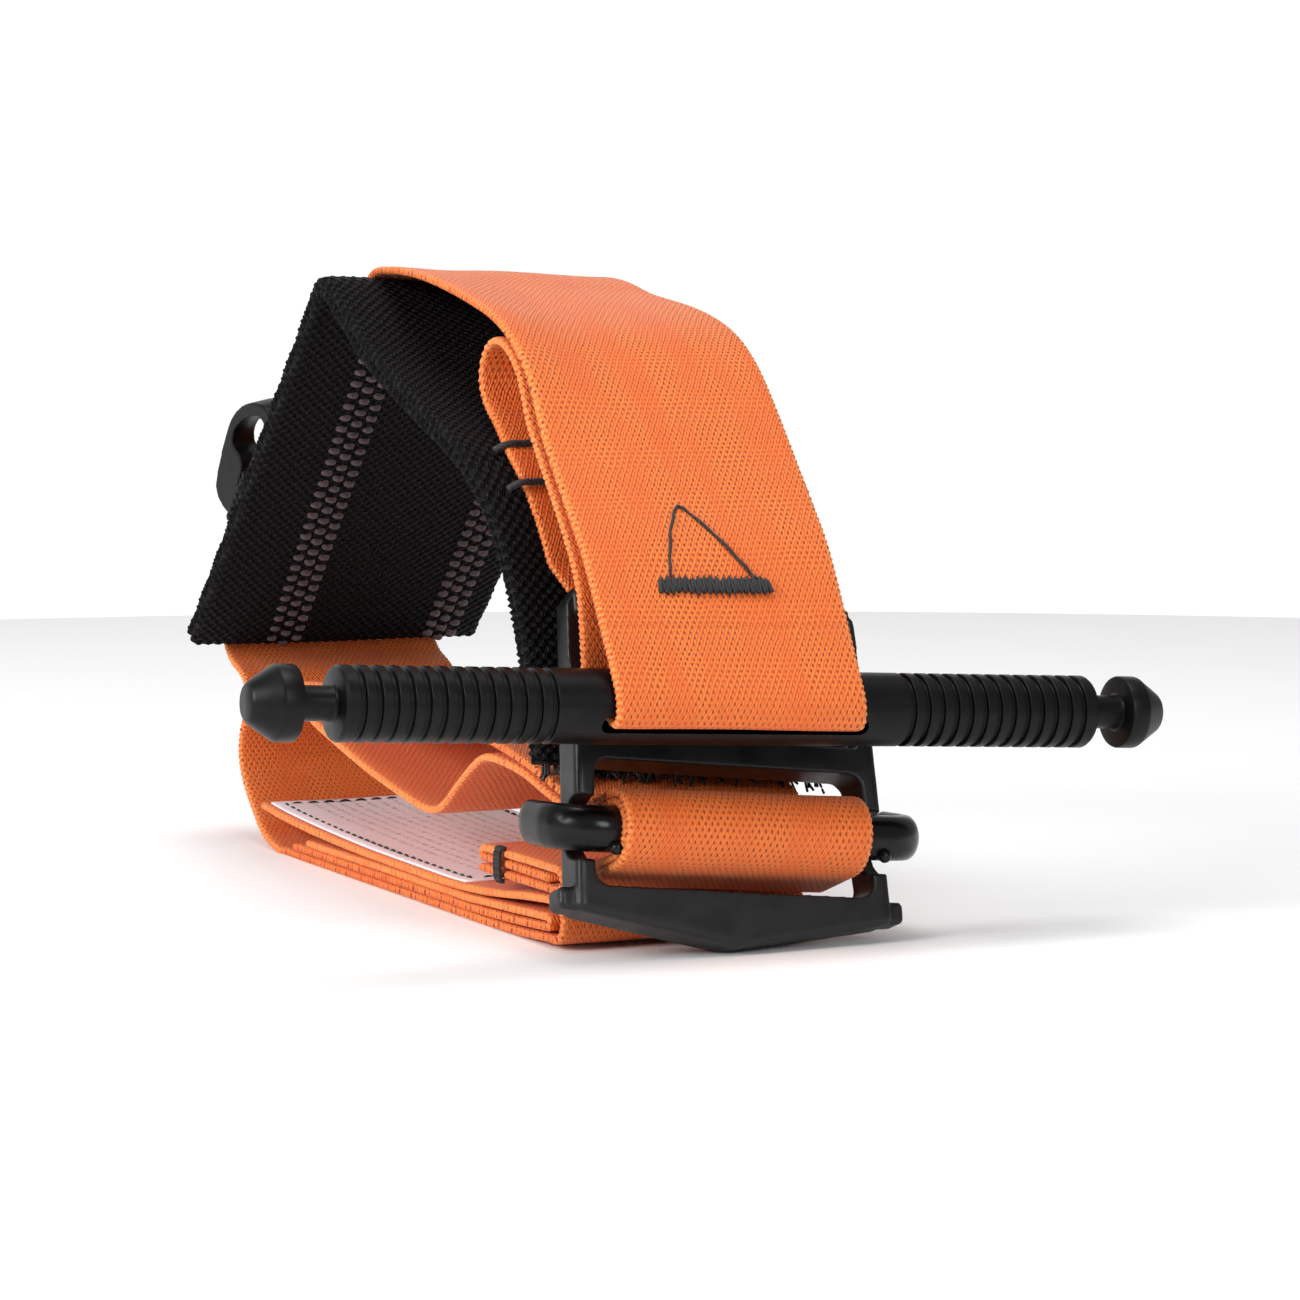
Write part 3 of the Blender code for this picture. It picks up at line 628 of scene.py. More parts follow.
def wave(finish, value, pitch):
    """A cosine of the value with the given pitch."""
    return finish.math("COSINE", finish.times(value, 2 * math.pi / pitch))


def orange_webbing():
    """Bright flat webbing: fine ribs, small pits in staggered rows darkened with painted shade,
    painted highlights on the slanted strands, paler edges with a painted highlight on each bead.
    """
    finish = Finish("orange_webbing")
    across, along, vector = finish.cloth()
    u = wobbled(finish, across, vector, 0.5, 0.35)
    s = wobbled(finish, along, vector, 0.3, 0.6)
    lattice = finish.times(wave(finish, u, 0.98), wave(finish, s, 1.62))
    lane = finish.noise(0.22, 2.0, finish.stretched(vector, (1.0, 0.18, 1.0)))
    depth = finish.ramp(lane, 0.38, 0.62, 0.55, 1.0)
    pit = finish.times(finish.ramp(lattice, 0.35, 0.85), depth)
    rib = wave(finish, u, 0.49)
    slant = finish.plus(u, finish.times(s, 0.55))
    twist = wave(finish, slant, 0.49)
    strand = finish.noise(3.0, 3.0, vector)
    light = finish.blend(finish.ramp(lane, 0.3, 0.7), rgb(224, 97, 28), rgb(233, 115, 40))
    # Painted highlight: the slanted twisted strands are coloured lighter, as if lit.
    painted_strand_highlight = finish.times(finish.ramp(twist, 0.1, 1.0), 0.45)
    light = finish.blend(painted_strand_highlight, light, rgb(250, 152, 76))
    light = finish.blend(finish.ramp(strand, 0.35, 0.75, 0.0, 0.3), light, rgb(224, 78, 18))
    # Painted shade: the colour darkens in the weave's pits, where shade falls.
    colour = finish.blend(finish.times(pit, 0.9), light, rgb(140, 28, 4))
    # Paler selvedge, with a painted highlight on each edge bead.
    edge = finish.ramp(finish.math("ABSOLUTE", across), 18.0, 18.7, 0.0, 0.6)
    bead = finish.ramp(wave(finish, s, 0.95), -0.6, 0.5)
    colour = finish.blend(finish.times(edge, bead), colour, rgb(255, 158, 84))
    height = finish.math("SUBTRACT", finish.times(rib, 0.15), pit)
    height = finish.plus(height, finish.times(twist, 0.22))
    height = finish.plus(height, finish.times(strand, 0.35))
    rough = finish.ramp(strand, 0.2, 0.8, 0.6, 0.46)
    return finish.done(colour, rough, height, 0.8, 0.2, sheen=0.1, specular=0.35)


def black_webbing():
    """Coarse black webbing: plump yarn knobs in staggered rows, their tops painted lighter as if
    lit and the gaps between them black as painted shade.
    """
    finish = Finish("black_webbing")
    u, s, vector = finish.cloth()
    u = wobbled(finish, u, vector, 0.3, 0.5)
    s = wobbled(finish, s, vector, 0.3, 0.5)
    lattice = finish.times(wave(finish, u, KNOB_U), wave(finish, s, KNOB_S))
    knob = finish.ramp(lattice, -0.75, 0.7)
    yarn = wave(finish, finish.plus(u, finish.times(s, 0.6)), 0.42)
    fuzz = finish.noise(3.5, 4.0, vector)
    # Painted light and shade: knob tops lighter as if lit, the gaps between knobs black as shade.
    painted_knob_light = finish.times(knob, finish.ramp(fuzz, 0.3, 0.75))
    colour = finish.blend(painted_knob_light, rgb(0, 0, 1), rgb(44, 40, 44))
    height = finish.plus(knob, finish.times(fuzz, 0.35))
    height = finish.plus(height, finish.times(yarn, 0.1))
    rough = finish.ramp(fuzz, 0.2, 0.8, 0.7, 0.5)
    return finish.done(colour, rough, height, 1.0, 0.5, specular=0.1)


def grip_rubber():
    """The grey grippy threads on the inner face."""
    finish = Finish("grip_rubber")
    spot = finish.place()
    grain = finish.noise(1.6, 4.0, spot)
    colour = finish.blend(grain, rgb(62, 50, 54), rgb(104, 88, 92))
    return finish.done(colour, finish.ramp(grain, 0.2, 0.8, 0.6, 0.42), grain, 0.5, 0.12,
                       specular=0.35)


def moulding(name, shade, rough_low, rough_high, grain_depth, coat=0.0, specular=0.4):
    """Black moulded plastic with a fine grain and faint wear."""
    finish = Finish(name)
    spot = finish.place()
    grain = finish.noise(5.0, 3.0, spot)
    wear = finish.noise(0.25, 3.0, spot)
    colour = finish.blend(finish.ramp(wear, 0.35, 0.75), rgb(shade, shade, shade + 1),
                          rgb(shade + 7, shade + 7, shade + 8))
    rough = finish.plus(finish.ramp(wear, 0.3, 0.7, rough_low, rough_high),
                        finish.times(grain, 0.06))
    return finish.done(colour, rough, grain, 0.35, grain_depth, coat=coat, specular=specular)


def anodised():
    """Satin black anodised metal with a blasted grain."""
    finish = Finish("black_anodised_metal")
    spot = finish.place()
    grain = finish.noise(7.0, 4.0, spot)
    rub = finish.noise(0.35, 3.0, spot)
    colour = finish.blend(finish.ramp(rub, 0.4, 0.8), rgb(6, 5, 6), rgb(15, 13, 14))
    rough = finish.plus(finish.ramp(rub, 0.3, 0.7, 0.36, 0.3), finish.times(grain, 0.1))
    return finish.done(colour, rough, grain, 0.4, 0.05, specular=0.2)


def sewing_thread():
    """Black polyester thread with a twisted lay."""
    finish = Finish("black_thread")
    spot = finish.place()
    lay = finish.node("ShaderNodeTexWave", {"Vector": spot, "Scale": 0.9, "Distortion": 1.0},
                      bands_direction="DIAGONAL").outputs[1]
    colour = finish.blend(lay, rgb(7, 7, 8), rgb(38, 36, 38))
    return finish.done(colour, 0.6, lay, 0.6, 0.12, sheen=0.1)


def label_cloth():
    """Satin label, pinkish white, with printed marks that stand for small print."""
    finish = Finish("label_cloth")
    u, s, vector = finish.cloth()
    weave = finish.times(wave(finish, u, 0.42), wave(finish, s, 0.42))
    rows = finish.ramp(wave(finish, u, 2.3), 0.25, 0.6)
    words = finish.noise(1.0, 1.0, finish.stretched(vector, (0.0, 0.9, 0.0)))
    letters = finish.noise(2.4, 2.0, vector)
    ink = finish.times(rows, finish.ramp(words, 0.45, 0.5))
    ink = finish.times(ink, finish.ramp(letters, 0.45, 0.56))
    inside = finish.math("LESS_THAN", finish.math("ABSOLUTE", u), 12.8)
    ink = finish.times(finish.times(ink, inside), 0.6)
    mottle = finish.noise(0.3, 3.0, vector)
    paper = finish.blend(mottle, rgb(244, 230, 235), rgb(255, 244, 247))
    colour = finish.blend(ink, paper, rgb(96, 74, 82))
    return finish.done(colour, 0.55, weave, 0.3, 0.05)


def floor_finish():
    """The pale table top."""
    finish = Finish("floor")
    grain = finish.noise(0.02, 2.0, finish.place())
    colour = finish.blend(grain, (0.93, 0.93, 0.93, 1.0), (0.96, 0.96, 0.96, 1.0))
    return finish.done(colour, 0.9)


# ---- strap

def first(mask):
    """Index of the first true value."""
    return int(np.argmax(mask))


def strap_cuts(line):
    """Where the strap reaches the rod, leaves it, and lies on the base again."""
    y, z = line[:, 0], line[:, 1]
    front = first((y < 8.0) & (z < 46.0))
    back = front + first((y[front:] > 2.0) & (z[front:] > 46.0))
    top = back + first(z[back:] > 80.0)
    return 0, front, back, top + first(z[top:] < 70.5), len(line) - 1


def layout(x, y, z):
    """A layout point in metres in the shared frame."""
    return Vector((x, y - CENTRE_Y, z)) * MM


def build_upper_strap(mat):
    """The upper strap in four stretches: panel, round the rod, soft fold, buckle anchor."""
    line = upper_strap_line()
    pieces = []
    for k, (name, lift) in enumerate((("strap_panel", crest_lift),
                                      ("strap_round_rod", no_lift),
                                      ("strap_soft_fold", fold_lift),
                                      ("strap_buckle_anchor", no_lift))):
        pieces.append(strip(name, line, STRAP_W, STRAP_T, mat, seed=3, wave=0.3, lift=lift,
                            cut=lambda a: (strap_cuts(a)[k], strap_cuts(a)[k + 1] + 1)))
    panel, loop, fold, anchor = pieces
    for piece in (panel, fold):
        bend_with_panel(piece)
    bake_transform(loop)
    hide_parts("front_strap_panel", "rear_strap_panel", "strap_back_turn")
    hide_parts("windlass_strap_loop")
    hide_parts("strap_fold_loop")
    settle_piece(anchor, "base", "orange_webbing", "buckle_anchor_strap")


def build_stored_strap(mat):
    """The rest of the strap, folded flat under the base."""
    for name, node, points, seed in (
            ("ground_layer", "strap_ground_layer", ground_line(), 11),
            ("inner_fold", "strap_inner_fold", inner_fold_line(), 13),
            ("spare_tail", "strap_tail", tail_line(), 17),
            ("tail_end", "strap_tail_end", tail_end_line(), 19)):
        piece = strip(name, points, STRAP_W, STRAP_T, mat, seed=seed, soften=0.8)
        settle_piece(piece, "base", "orange_webbing", node)


def settle_piece(piece, body, slot, *nodes):
    """Put a finished piece on its body, in place of the solid pieces it stands for."""
    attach(piece, body)
    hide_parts(*nodes)


def build_slider_strap(mat):
    """The two layers of strap round the slider bar."""
    outer = SLIDER_R + 0.08 + 1.5 * STRAP_T
    inner = SLIDER_R + 0.04 + STRAP_T / 2
    for name, node, radius, tail, seed in (
            ("slider_strap_over", "slider_strap_outer", outer, 6.4, 23),
            ("slider_strap_under", "slider_strap_inner", inner, 6.0, 29)):
        piece = strip(name, slider_wrap_line(radius, tail), STRAP_W, STRAP_T, mat, seed=seed,
                      soften=0.6, wave=0.15)
        settle_piece(piece, "slider", "orange_webbing", node)


# ---- base webbing

def knobs(u, s):
    """Height of the coarse weave's staggered knobs."""
    return 0.16 * np.cos(2 * np.pi * u / KNOB_U) * np.cos(2 * np.pi * s / KNOB_S)


def grips(u, s):
    """Height of the rounded grippy blobs, in staggered rows."""
    lattice = np.cos(2 * np.pi * u / GRIP_U) * np.cos(2 * np.pi * s / GRIP_S)
    return 0.95 * np.clip((lattice - 0.12) / 0.88, 0.0, 1.0) ** 0.45


def build_base(mat, grip):
    """The folded two-layer base webbing and the grip stripes on its inner face."""
    outer = smooth(base_outer_line(), 3)
    base = strip("base_webbing", offset(outer, BASE_T / 2), BASE_W, BASE_T, mat, step=0.5,
                 columns=96, layers=2, relief=knobs, bead=0.28, wave=0.12, seed=31,
                 lift=corner_lift)
    settle_piece(base, "base", "black_webbing", "base_webbing_outer", "base_webbing_inner")
    for name, top, bottom in (("grip_stripe_left", -13.0, -9.6),
                              ("grip_stripe_right", 16.0, 18.7)):
        inside = []
        for y, z, x, tilt in offset(outer, BASE_T - 0.42):
            shift = top + (bottom - top) * part_way(y, 90.0, 150.0)
            inside.append((y, z, x + shift, tilt))
        stripe = strip(name, inside, STRIPE_W, 0.3, grip, step=0.26, columns=26, relief=grips,
                       bead=0.0, wave=0.0, lift=stripe_lift(top))
        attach(stripe, "base")


def build_frayed_end(mat):
    """Loose yarn ends where the base webbing is cut off, above the slider."""
    line = even(offset(smooth(base_outer_line(), 3), BASE_T / 2), 0.5)
    stations = [[Vector(v) for v in rows[-2:]] for rows in spread(line)]
    (before, foot), (_, side), (_, out) = stations
    down = (foot - before).normalized()
    yarns = []
    for k in range(YARNS):
        root = foot + side * RANDOM.uniform(-24.5, 24.5) + out * RANDOM.uniform(-1.6, 1.6)
        bend = side * RANDOM.uniform(-1.3, 1.3) + out * RANDOM.uniform(-0.2, 1.0)
        fall = down * RANDOM.uniform(1.0, 3.2)
        points = [root - down * 0.6, root + fall * 0.5 + bend * 0.25, root + fall + bend]
        yarns.append(thread(f"yarn_{k}", points, 0.2, mat, sides=5))
    frayed = join("base_frayed_end", yarns)
    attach(frayed, "base")


# ---- hard parts

def rod_profile():
    """Half profile (station, radius) of the rod, from its end to its middle."""
    profile = [(0.0, 0.0), (0.0, 2.35), (0.15, 2.6), (0.5, 2.95), (3.55, 4.95), (3.8, 5.12),
               (4.1, ROD_R), (6.3, ROD_R), (6.55, ROD_R - 0.1), (6.65, ROD_R - 0.4),
               (6.75, 2.8), (7.0, 2.45), (7.4, 2.4), (11.6, 2.4), (11.95, 2.45), (12.1, 2.8),
               (12.2, ROD_R - 0.7), (12.35, ROD_R - 0.3), (12.8, ROD_R)]
    wide, deep = GROOVE_WIDTH, GROOVE_DEPTH
    groove = [(-0.12, 0.0), (0.02, 0.1), (0.1, deep - 0.08), (0.22, deep), (wide - 0.22, deep),
              (wide - 0.1, deep - 0.08), (wide - 0.02, 0.1), (wide + 0.12, 0.0)]
    for k in range(GROOVES):
        start = GROOVE_START + k * GROOVE_PITCH
        profile += [(start + at, ROD_R - depth) for at, depth in groove]
    return profile


def rounded_slot():
    """Outline (along, up) of the slot through the rod."""
    radius, half, rise = 1.25, SLOT_LENGTH / 2, SLOT_HEIGHT / 2
    outline = []
    for k, (right, top) in enumerate(((1, 1), (-1, 1), (-1, -1), (1, -1))):
        outline += arc(right * (half - radius), top * (rise - radius), radius,
                       90 * k, 90 * k + 90, 6)
    return outline


def build_rod(mat):
    """The turned rod, its slot cut clean through."""
    half = rod_profile()
    middle = ROD_LENGTH / 2
    profile = [(s - middle, r) for s, r in half[1:]]
    profile += [(middle - s, r) for s, r in reversed(half[1:])]
    sides = 96
    verts = []
    for x, radius in profile:
        for k in range(sides):
            angle = 2 * math.pi * k / sides
            verts.append((x, radius * math.cos(angle), radius * math.sin(angle)))
    faces = grid_faces(len(profile), sides, flip=True)
    faces.append(tuple(range(sides)))
    faces.append(tuple(range(len(verts) - 1, len(verts) - 1 - sides, -1)))
    turn = Matrix.Translation(ROD_CENTRE) @ Matrix.Rotation(ROD_TILT, 4, "Y")
    rod = make_object("windlass_bar", [turn @ Vector(v) for v in verts], faces, mat)
    outline = rounded_slot()
    count = len(outline)
    walls = grid_faces(2, count)
    caps = [tuple(range(count)), tuple(range(2 * count - 1, count - 1, -1))]
    turn = turn @ Matrix.Rotation(SLOT_ANGLE, 4, "X")
    through = [turn @ Vector((x, y, z)) for y in (-8.0, 8.0) for x, z in outline]
    cutter = make_object("slot_cutter", through, walls + caps, mat)
    cut = rod.modifiers.new("slot", "BOOLEAN")
    cut.operation = "DIFFERENCE"
    cut.object = cutter
    cut.solver = "EXACT"
    edges = rod.modifiers.new("edges", "BEVEL")
    edges.width = 0.35 * MM
    edges.segments = 3
    edges.limit_method = "ANGLE"
    edges.angle_limit = math.radians(50)
    bake_modifiers(rod)
    bpy.data.objects.remove(cutter)
    rod.data.set_sharp_from_angle(angle=math.radians(32))
    settle_piece(rod, "windlass_rod", "black_anodised_metal", "windlass")


def build_slider(mat):
    """A glossy round bar with swept-back ends and a small bump near each."""
    bend = SLIDER_BEND
    right = [(x, 0.0, 1.0) for x in np.linspace(0.0, SLIDER_STRAIGHT, 24)]
    for k in range(1, 19):
        angle = math.radians(5 * k)
        squeeze = 1.0 - (1.0 - SLIDER_END_R / SLIDER_R) * min(1.0, k / 15)
        right.append((SLIDER_STRAIGHT + bend * math.sin(angle),
                      bend * (1 - math.cos(angle)), squeeze))
    end_x, end_v, squeeze = right[-1]
    for step in np.linspace(0.1, 1.0, 10):
        right.append((end_x, end_v + SLIDER_TAIL * step, squeeze))
    end_v += SLIDER_TAIL
    radii = [SLIDER_R] * len(right)
    for angle in range(8, 89, 8):
        right.append((end_x, end_v + 3.0 * math.sin(math.radians(angle)), squeeze))
        radii.append(SLIDER_R * math.cos(math.radians(angle)))
    stations = [(-x, v, s) for x, v, s in reversed(right[1:])] + right
    sizes = radii[:0:-1] + radii
    turn = (Matrix.Translation(in_frame(SLIDER_U, SLIDER_V, SLIDER_W))
            @ frame_matrix().to_3x3().to_4x4() @ Matrix.Rotation(SLIDER_ROLL, 4, "Y")
            @ Matrix.Rotation(SLIDER_PITCH, 4, "X"))
    centres = [turn @ Vector((x, v, 0.0)) for x, v, s in stations]
    bar = tube("slider_rod", centres, sizes, mat, sides=40, flat=[s for x, v, s in stations])
    nubs = []
    rise = [k / 8 for k in range(9)]
    for side in (-1, 1):
        middle = turn @ Vector((side * SLIDER_NUB, -2.75, -2.4))
        spine = [middle + Vector((2.0 * (t - 0.5), 0, 0)) for t in rise]
        swell = [max(0.05, math.sin(math.pi * t) ** 0.5) for t in rise]
        nubs.append(tube(f"slider_nub_{side}", spine, swell, mat, sides=16))
    settle_piece(join("slider_rod", [bar, *nubs]), "slider", "black_gloss_moulding",
                 "slider_bar")


def ring_axes():
    """The lock ring's hinge point, and its axes down the slope, out and sideways."""
    foot = Vector(RING_FOOT) + BACK_OUT * (STRAP_T + 2 * GAP + RING_RISE)
    leant = Matrix.Rotation(-RING_LEAN, 3, BACK_SLOPE) @ BACK_OUT
    return foot, BACK_SLOPE, leant, BACK_SLOPE.cross(leant)


def evenly(points, count):
    """Equally spaced points along a smooth closed line."""
    line = [p[:2] for p in smooth([points[-1], *points, points[0]], 4)[4:-4]]
    line = np.array(line + line[:1])
    run = np.append(0.0, np.cumsum(np.linalg.norm(np.diff(line, axis=0), axis=1)))
    spots = np.linspace(0.0, run[-1], count, endpoint=False)
    return np.stack([np.interp(spots, run, line[:, k]) for k in (0, 1)], axis=1)


def build_lock_ring(mat):
    """The moulded lock ring: a rounded plate, solid below and open above."""
    outline = [(8.9, -1.7), (11.0, -0.6), (12.3, 2.0), (13.1, 5.0), (13.2, 7.9), (12.5, 9.3),
               (10.8, 10.4), (6.4, 11.3), (1.9, 11.9), (-2.2, 12.2), (-5.8, 11.5),
               (-8.6, 10.3), (-11.3, 8.2), (-13.0, 5.5), (-12.8, 2.2), (-11.2, -0.6),
               (-8.9, -1.7)]
    opening = [(6.6, 1.8), (6.9, 3.4), (6.2, 5.0), (2.2, 5.6), (0.9, 7.0), (0.8, 9.0),
               (0.3, 9.8), (-1.4, 10.4), (-3.4, 10.2), (-6.0, 9.3), (-8.8, 7.5),
               (-10.2, 5.6), (-9.8, 3.2), (-7.6, 1.8), (-6.6, 1.7)]
    foot, slope, out, side = ring_axes()
    outer, inner = evenly(outline, RING_STEPS), evenly(opening, RING_STEPS)
    verts = []
    for rim, is_far in ((outer, False), (outer, True), (inner, True), (inner, False)):
        for s, n in rim:
            depth = RING_HALF + 1.4 * float(ease(2.0, 5.0, n)) if is_far else -RING_HALF
            verts.append(tuple(foot + slope * s + out * n + side * depth))
    ring = make_object("strap_lock_ring", verts, grid_faces(4, RING_STEPS, closed_rows=True),
                       mat)
    soften(ring, 0.2, 9)
    settle_piece(ring, "ring", "black_moulding", "lock_ring")


def build_buckle(mat):
    """A soft-edged copy of the solid model's ladder frame."""
    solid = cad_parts["buckle_frame"]
    buckle = bpy.data.objects.new("buckle_ladder", solid.data.copy())
    bpy.context.scene.collection.objects.link(buckle)
    soften(buckle, 0.28, 3)
    buckle.data.materials.clear()
    buckle.data.materials.append(mat)
    settle_piece(buckle, "buckle", "black_moulding", "buckle_frame")


def build_keeper(mat):
    """The short webbing tab that holds the ring's long side to the panel."""
    foot, slope, _, _ = ring_axes()
    low = 0.55 - RING_RISE
    profile = [(-6.4, low), (-4.6, low), (-3.3, low + 0.4), (-2.6, -0.6)]
    profile += arc(0.0, 0.0, 2.6, 170, 10, 8)
    profile += [(2.6, -0.6), (3.3, low + 0.4), (4.6, low), (8.0, low)]
    line = even(profile, 0.35, 0.5)
    centre = np.array([tuple(foot + Vector((x, 0.0, 0.0)) + BACK_OUT * n) for x, n in line[:, :2]])
    across = np.tile(np.array(slope), (len(line), 1))
    along = np.gradient(centre, axis=0)
    normal = np.cross(along, across)
    normal /= np.linalg.norm(normal, axis=1)[:, None]
    keeper = sweep("lock_ring_tab", centre, across, normal, np.arange(len(line)) * 0.35, 12.0,
                   1.0, mat, columns=24, relief=knobs, bead=0.1, wave=0.0)
    settle_piece(keeper, "base", "black_webbing", "lock_ring_keeper")


# ---- label and stitching

def label_height(y):
    """Height of the top of the stored strap at a distance back along it."""
    top = pressed(smooth(stack_top_line(), 4))
    ys, zs = [p[0] for p in top], [p[1] for p in top]
    return float(np.interp(y, ys, zs)) + STRAP_T / 2


def build_label(mat):
    """The sewn-on cloth label on the top layer of the stored strap."""
    path = [(y, label_height(y) + 0.25, LABEL_X) for y in np.linspace(48.5, 132.5, 29)]
    label = strip("sewn_label", path, LABEL_W, LABEL_T, mat, step=0.6, columns=30, bead=0.0,
                  wave=0.15, seed=37)
    settle_piece(label, "base", "label_cloth", "label")


def dashes(points, length, space):
    """Short stretches of a line, as a running stitch shows them."""
    pts = [Vector(p) for p in points]
    run = [0.0]
    for a, b in zip(pts, pts[1:]):
        run.append(run[-1] + (b - a).length)
    axes = np.array([tuple(p) for p in pts])
    start, pieces = 0.0, []
    while start + length < run[-1]:
        stops = np.linspace(start, start + length, 5)
        pieces.append([Vector([float(np.interp(t, run, axes[:, k])) for k in range(3)])
                       for t in stops])
        start += length + space
    return pieces


def stitch_run(name, points, length, space, radius, mat):
    """A running stitch: every stretch arched a little, its ends sunk in the cloth."""
    made = []
    for k, piece in enumerate(dashes(points, length, space)):
        for point, lift in zip(piece, (-0.25, 0.0, 0.06, 0.0, -0.25)):
            point.z += lift
            point.x += RANDOM.uniform(-0.05, 0.05)
        made.append(thread(f"{name}_{k}", piece, radius, mat, sides=6))
    return join(name, made)


def build_label_stitch(mat):
    """The stitched border of the label."""
    half, near, far = 16.2, 50.5, 130.5
    path = [(-half, y) for y in np.linspace(near, far, 30)]
    path += [(x, far) for x in np.linspace(-half, half, 12)[1:]]
    path += [(half, y) for y in np.linspace(far, near, 30)[1:]]
    path += [(x, near) for x in np.linspace(half, -half, 12)[1:]]
    points = [(x + LABEL_X, y, label_height(y) + 0.52) for x, y in path]
    stitch = stitch_run("label_border_thread", points, 1.9, 0.9, 0.2, mat)
    settle_piece(stitch, "base", "black_thread", "label_border_stitch")


def panel_point(x, z, lift):
    """A point on the front panel's outer face at height z, raised off it by `lift`."""
    path = smooth(panel_line(), 4) + loop_line()[:2]
    front = [p for p in path if p[0] < 40.0]
    for low, high in zip(front[::-1], front[-2::-1]):
        if low[1] <= z <= high[1]:
            part = (z - low[1]) / (high[1] - low[1])
            along = Vector((0.0, high[0] - low[0], high[1] - low[1])).normalized()
            outward = Vector((0.0, -along.z, along.y))
            foot = Vector((x, low[0] + (high[0] - low[0]) * part, z))
            return foot + outward * (STRAP_T / 2 + lift)
    raise ValueError("height is off the panel")


def bend_with_panel(piece):
    """The strap leaves the base just above the rod; the piece's placement is baked into its mesh.
    """
    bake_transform(piece)


def settle_stitch(piece, node):
    """A stitch of the front panel, its placement baked into its mesh, in place of the solid piece
    it stands for.
    """
    bend_with_panel(piece)
    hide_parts(node)


def build_panel_stitch(mat):
    """The triangle of running stitch and the dense bar under it."""
    feet = [(-6.9, 52.6), (-6.3, 55.0), (-4.9, 58.6), (-3.2, 61.2), (-2.4, 61.9),
            (-1.2, 61.0), (1.6, 58.0), (4.0, 54.9), (5.6, 52.6), (6.6, 51.4)]
    fine = []
    for (xa, za), (xb, zb) in zip(feet, feet[1:]):
        for k in range(3):
            part = k / 3
            sink = 0.12 * math.cos(2 * math.pi * part)
            fine.append(panel_point(xa + (xb - xa) * part, za + (zb - za) * part, 0.12 - sink))
    fine.append(panel_point(*feet[-1], 0.0))
    triangle = thread("panel_triangle_thread", fine, 0.24, mat)
    settle_stitch(triangle, "panel_triangle_stitch")
    bar = []
    for k in range(37):
        x = -9.0 + 0.47 * k
        up = 1.1 if k % 2 else -0.9
        jitter = RANDOM.uniform(-0.18, 0.18)
        z = 51.4 - 0.035 * (x + 9.0) + up + jitter
        bar.append(panel_point(x + RANDOM.uniform(-0.1, 0.1), z, 0.3))
    dense = thread("panel_bar_thread", bar, 0.34, mat)
    settle_stitch(dense, "panel_bartack")


def build_tacks(mat):
    """Loose tacking threads from the base's edge to the soft fold, and the tail's tack."""
    up = Vector((0.0, -0.66, 0.75))
    for name, node, (y, z), reach in (
            ("fold_tack_high", "fold_tack_upper", (31.9, 69.2), 8.0),
            ("fold_tack_low", "fold_tack_lower", (27.3, 63.9), 7.0)):
        foot = Vector((-STRAP_W / 2, y, z)) + up * 1.3
        rises = (-0.9, 0.1, 0.5, 0.45, 0.55, 0.3, -0.3)
        points = [foot + Vector((reach * (k / 6 - 0.2), 0.0, 0.0)) + up * rise
                  for k, rise in enumerate(rises)]
        tack = thread(name, points, 0.52, mat)
        settle_piece(tack, "base", "black_thread", node)
    x = -STRAP_W / 2 - GAP - 0.2
    made = []
    for k in range(3):
        y = 32.2 + 0.75 * k
        points = [Vector((x + 0.9, y, 12.2)), Vector((x, y + 0.1, 12.0)),
                  Vector((x - 0.3, y - 0.2, 9.9)), Vector((x, y + 0.1, 7.7)),
                  Vector((x + 0.6, y, 7.5))]
        made.append(thread(f"tail_tack_{k}", points, 0.36, mat))
    settle_piece(join("tail_end_tack", made), "base", "black_thread", "tail_bartack")


# ---- setting

def build_world():
    """Soft grey light all round, with white behind the object and beyond the table."""
    world = bpy.data.worlds.new("studio")
    nodes = Nodes(world)
    direction = nodes.node("ShaderNodeTexCoord", {}).outputs["Generated"]
    parts = nodes.node("ShaderNodeSeparateXYZ", {0: direction}).outputs
    below = nodes.math("LESS_THAN", parts["Z"], 0.0)
    behind = nodes.math("MAXIMUM", parts["Y"], below)
    shade = nodes.tree.nodes["Background"]
    shade.inputs["Color"].default_value = (1.0, 1.0, 1.0, 1.0)
    nodes.feed(shade.inputs["Strength"], nodes.ramp(behind, 0.6, 0.8, AMBIENT, WALL))
    bpy.context.scene.world = world


def build_table():
    """A round table top that ends beyond the shadows."""
    angles = np.linspace(0.0, 2 * math.pi, 96, endpoint=False)
    rim = [(TABLE_R * math.cos(a), TABLE_R * math.sin(a), -0.02) for a in angles]
    floor = make_object("table", rim, [tuple(range(96))], floor_finish())


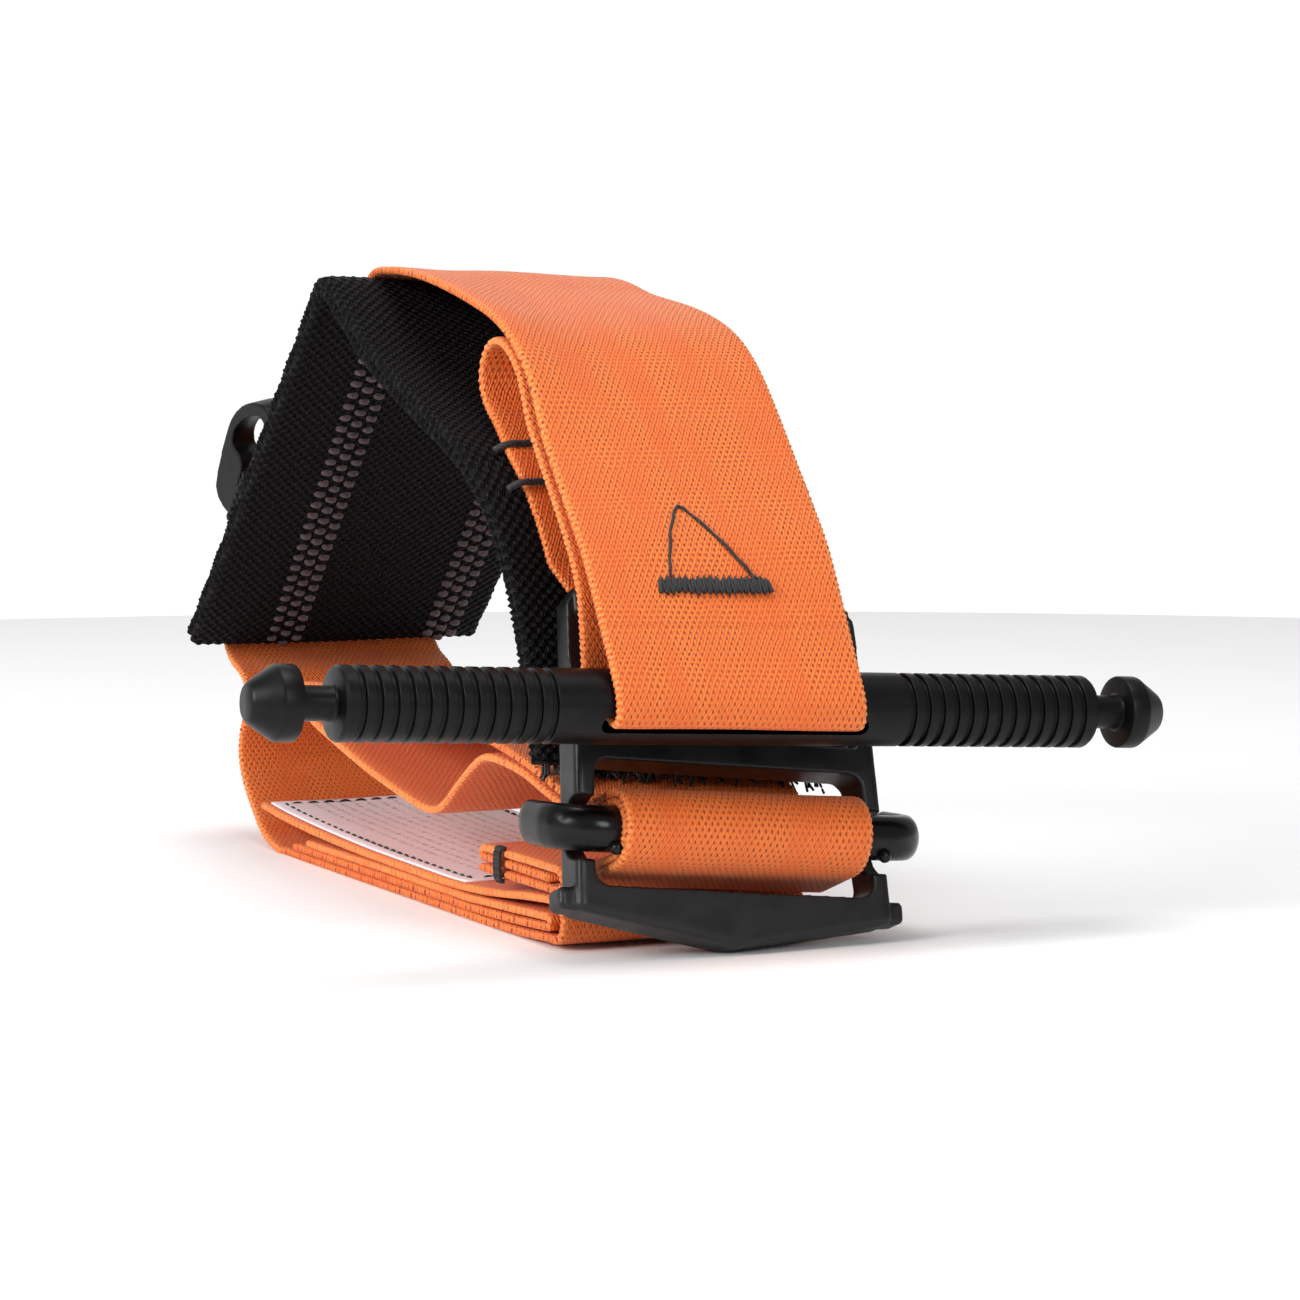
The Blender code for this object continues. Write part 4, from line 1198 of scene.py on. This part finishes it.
def build_lights():
    """Soft round lamps: name, place, aim, size and power, in metres and watts."""
    for name, place, aim, size, power in LIGHTS:
        lamp = bpy.data.lights.new(name, "AREA")
        lamp.shape = "DISK"
        lamp.size = size
        lamp.energy = power
        light = bpy.data.objects.new(name, lamp)
        light.location = place
        light.rotation_euler = (Vector(aim) - Vector(place)).to_track_quat("-Z", "Y").to_euler()
        bpy.context.scene.collection.objects.link(light)


def build_camera():
    """The camera, low in front and to the left."""
    camera = bpy.data.cameras.new("camera")
    camera.sensor_width = 36.0
    camera.lens = LENS
    eye = bpy.data.objects.new("camera", camera)
    eye.location = layout(*EYE)
    look = Vector((math.sin(EYE_TURN) * math.cos(EYE_DIP),
                   math.cos(EYE_TURN) * math.cos(EYE_DIP), -math.sin(EYE_DIP)))
    eye.rotation_euler = look.to_track_quat("-Z", "Y").to_euler()
    scene = bpy.context.scene
    scene.collection.objects.link(eye)
    scene.camera = eye
    scene.view_settings.view_transform = "Standard"


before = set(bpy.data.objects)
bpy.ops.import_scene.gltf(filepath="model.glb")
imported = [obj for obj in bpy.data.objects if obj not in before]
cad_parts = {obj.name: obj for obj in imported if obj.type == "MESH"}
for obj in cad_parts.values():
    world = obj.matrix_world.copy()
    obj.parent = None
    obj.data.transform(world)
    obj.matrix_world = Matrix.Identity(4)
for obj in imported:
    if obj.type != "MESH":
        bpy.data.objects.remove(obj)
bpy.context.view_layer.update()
orange = orange_webbing()
webbing = black_webbing()
thread_black = sewing_thread()
build_upper_strap(orange)
build_stored_strap(orange)
build_slider_strap(orange)
build_base(webbing, grip_rubber())
build_rod(anodised())
build_buckle(moulding("black_moulding", 15, 0.34, 0.44, 0.03))
build_slider(moulding("black_gloss_moulding", 6, 0.2, 0.28, 0.01, coat=0.05, specular=0.24))
build_lock_ring(moulding("ring_moulding", 8, 0.34, 0.44, 0.02, specular=0.15))
build_keeper(webbing)
build_label(label_cloth())
build_label_stitch(thread_black)
build_panel_stitch(thread_black)
build_tacks(thread_black)
build_frayed_end(thread_black)
build_table()
build_world()
build_lights()
build_camera()
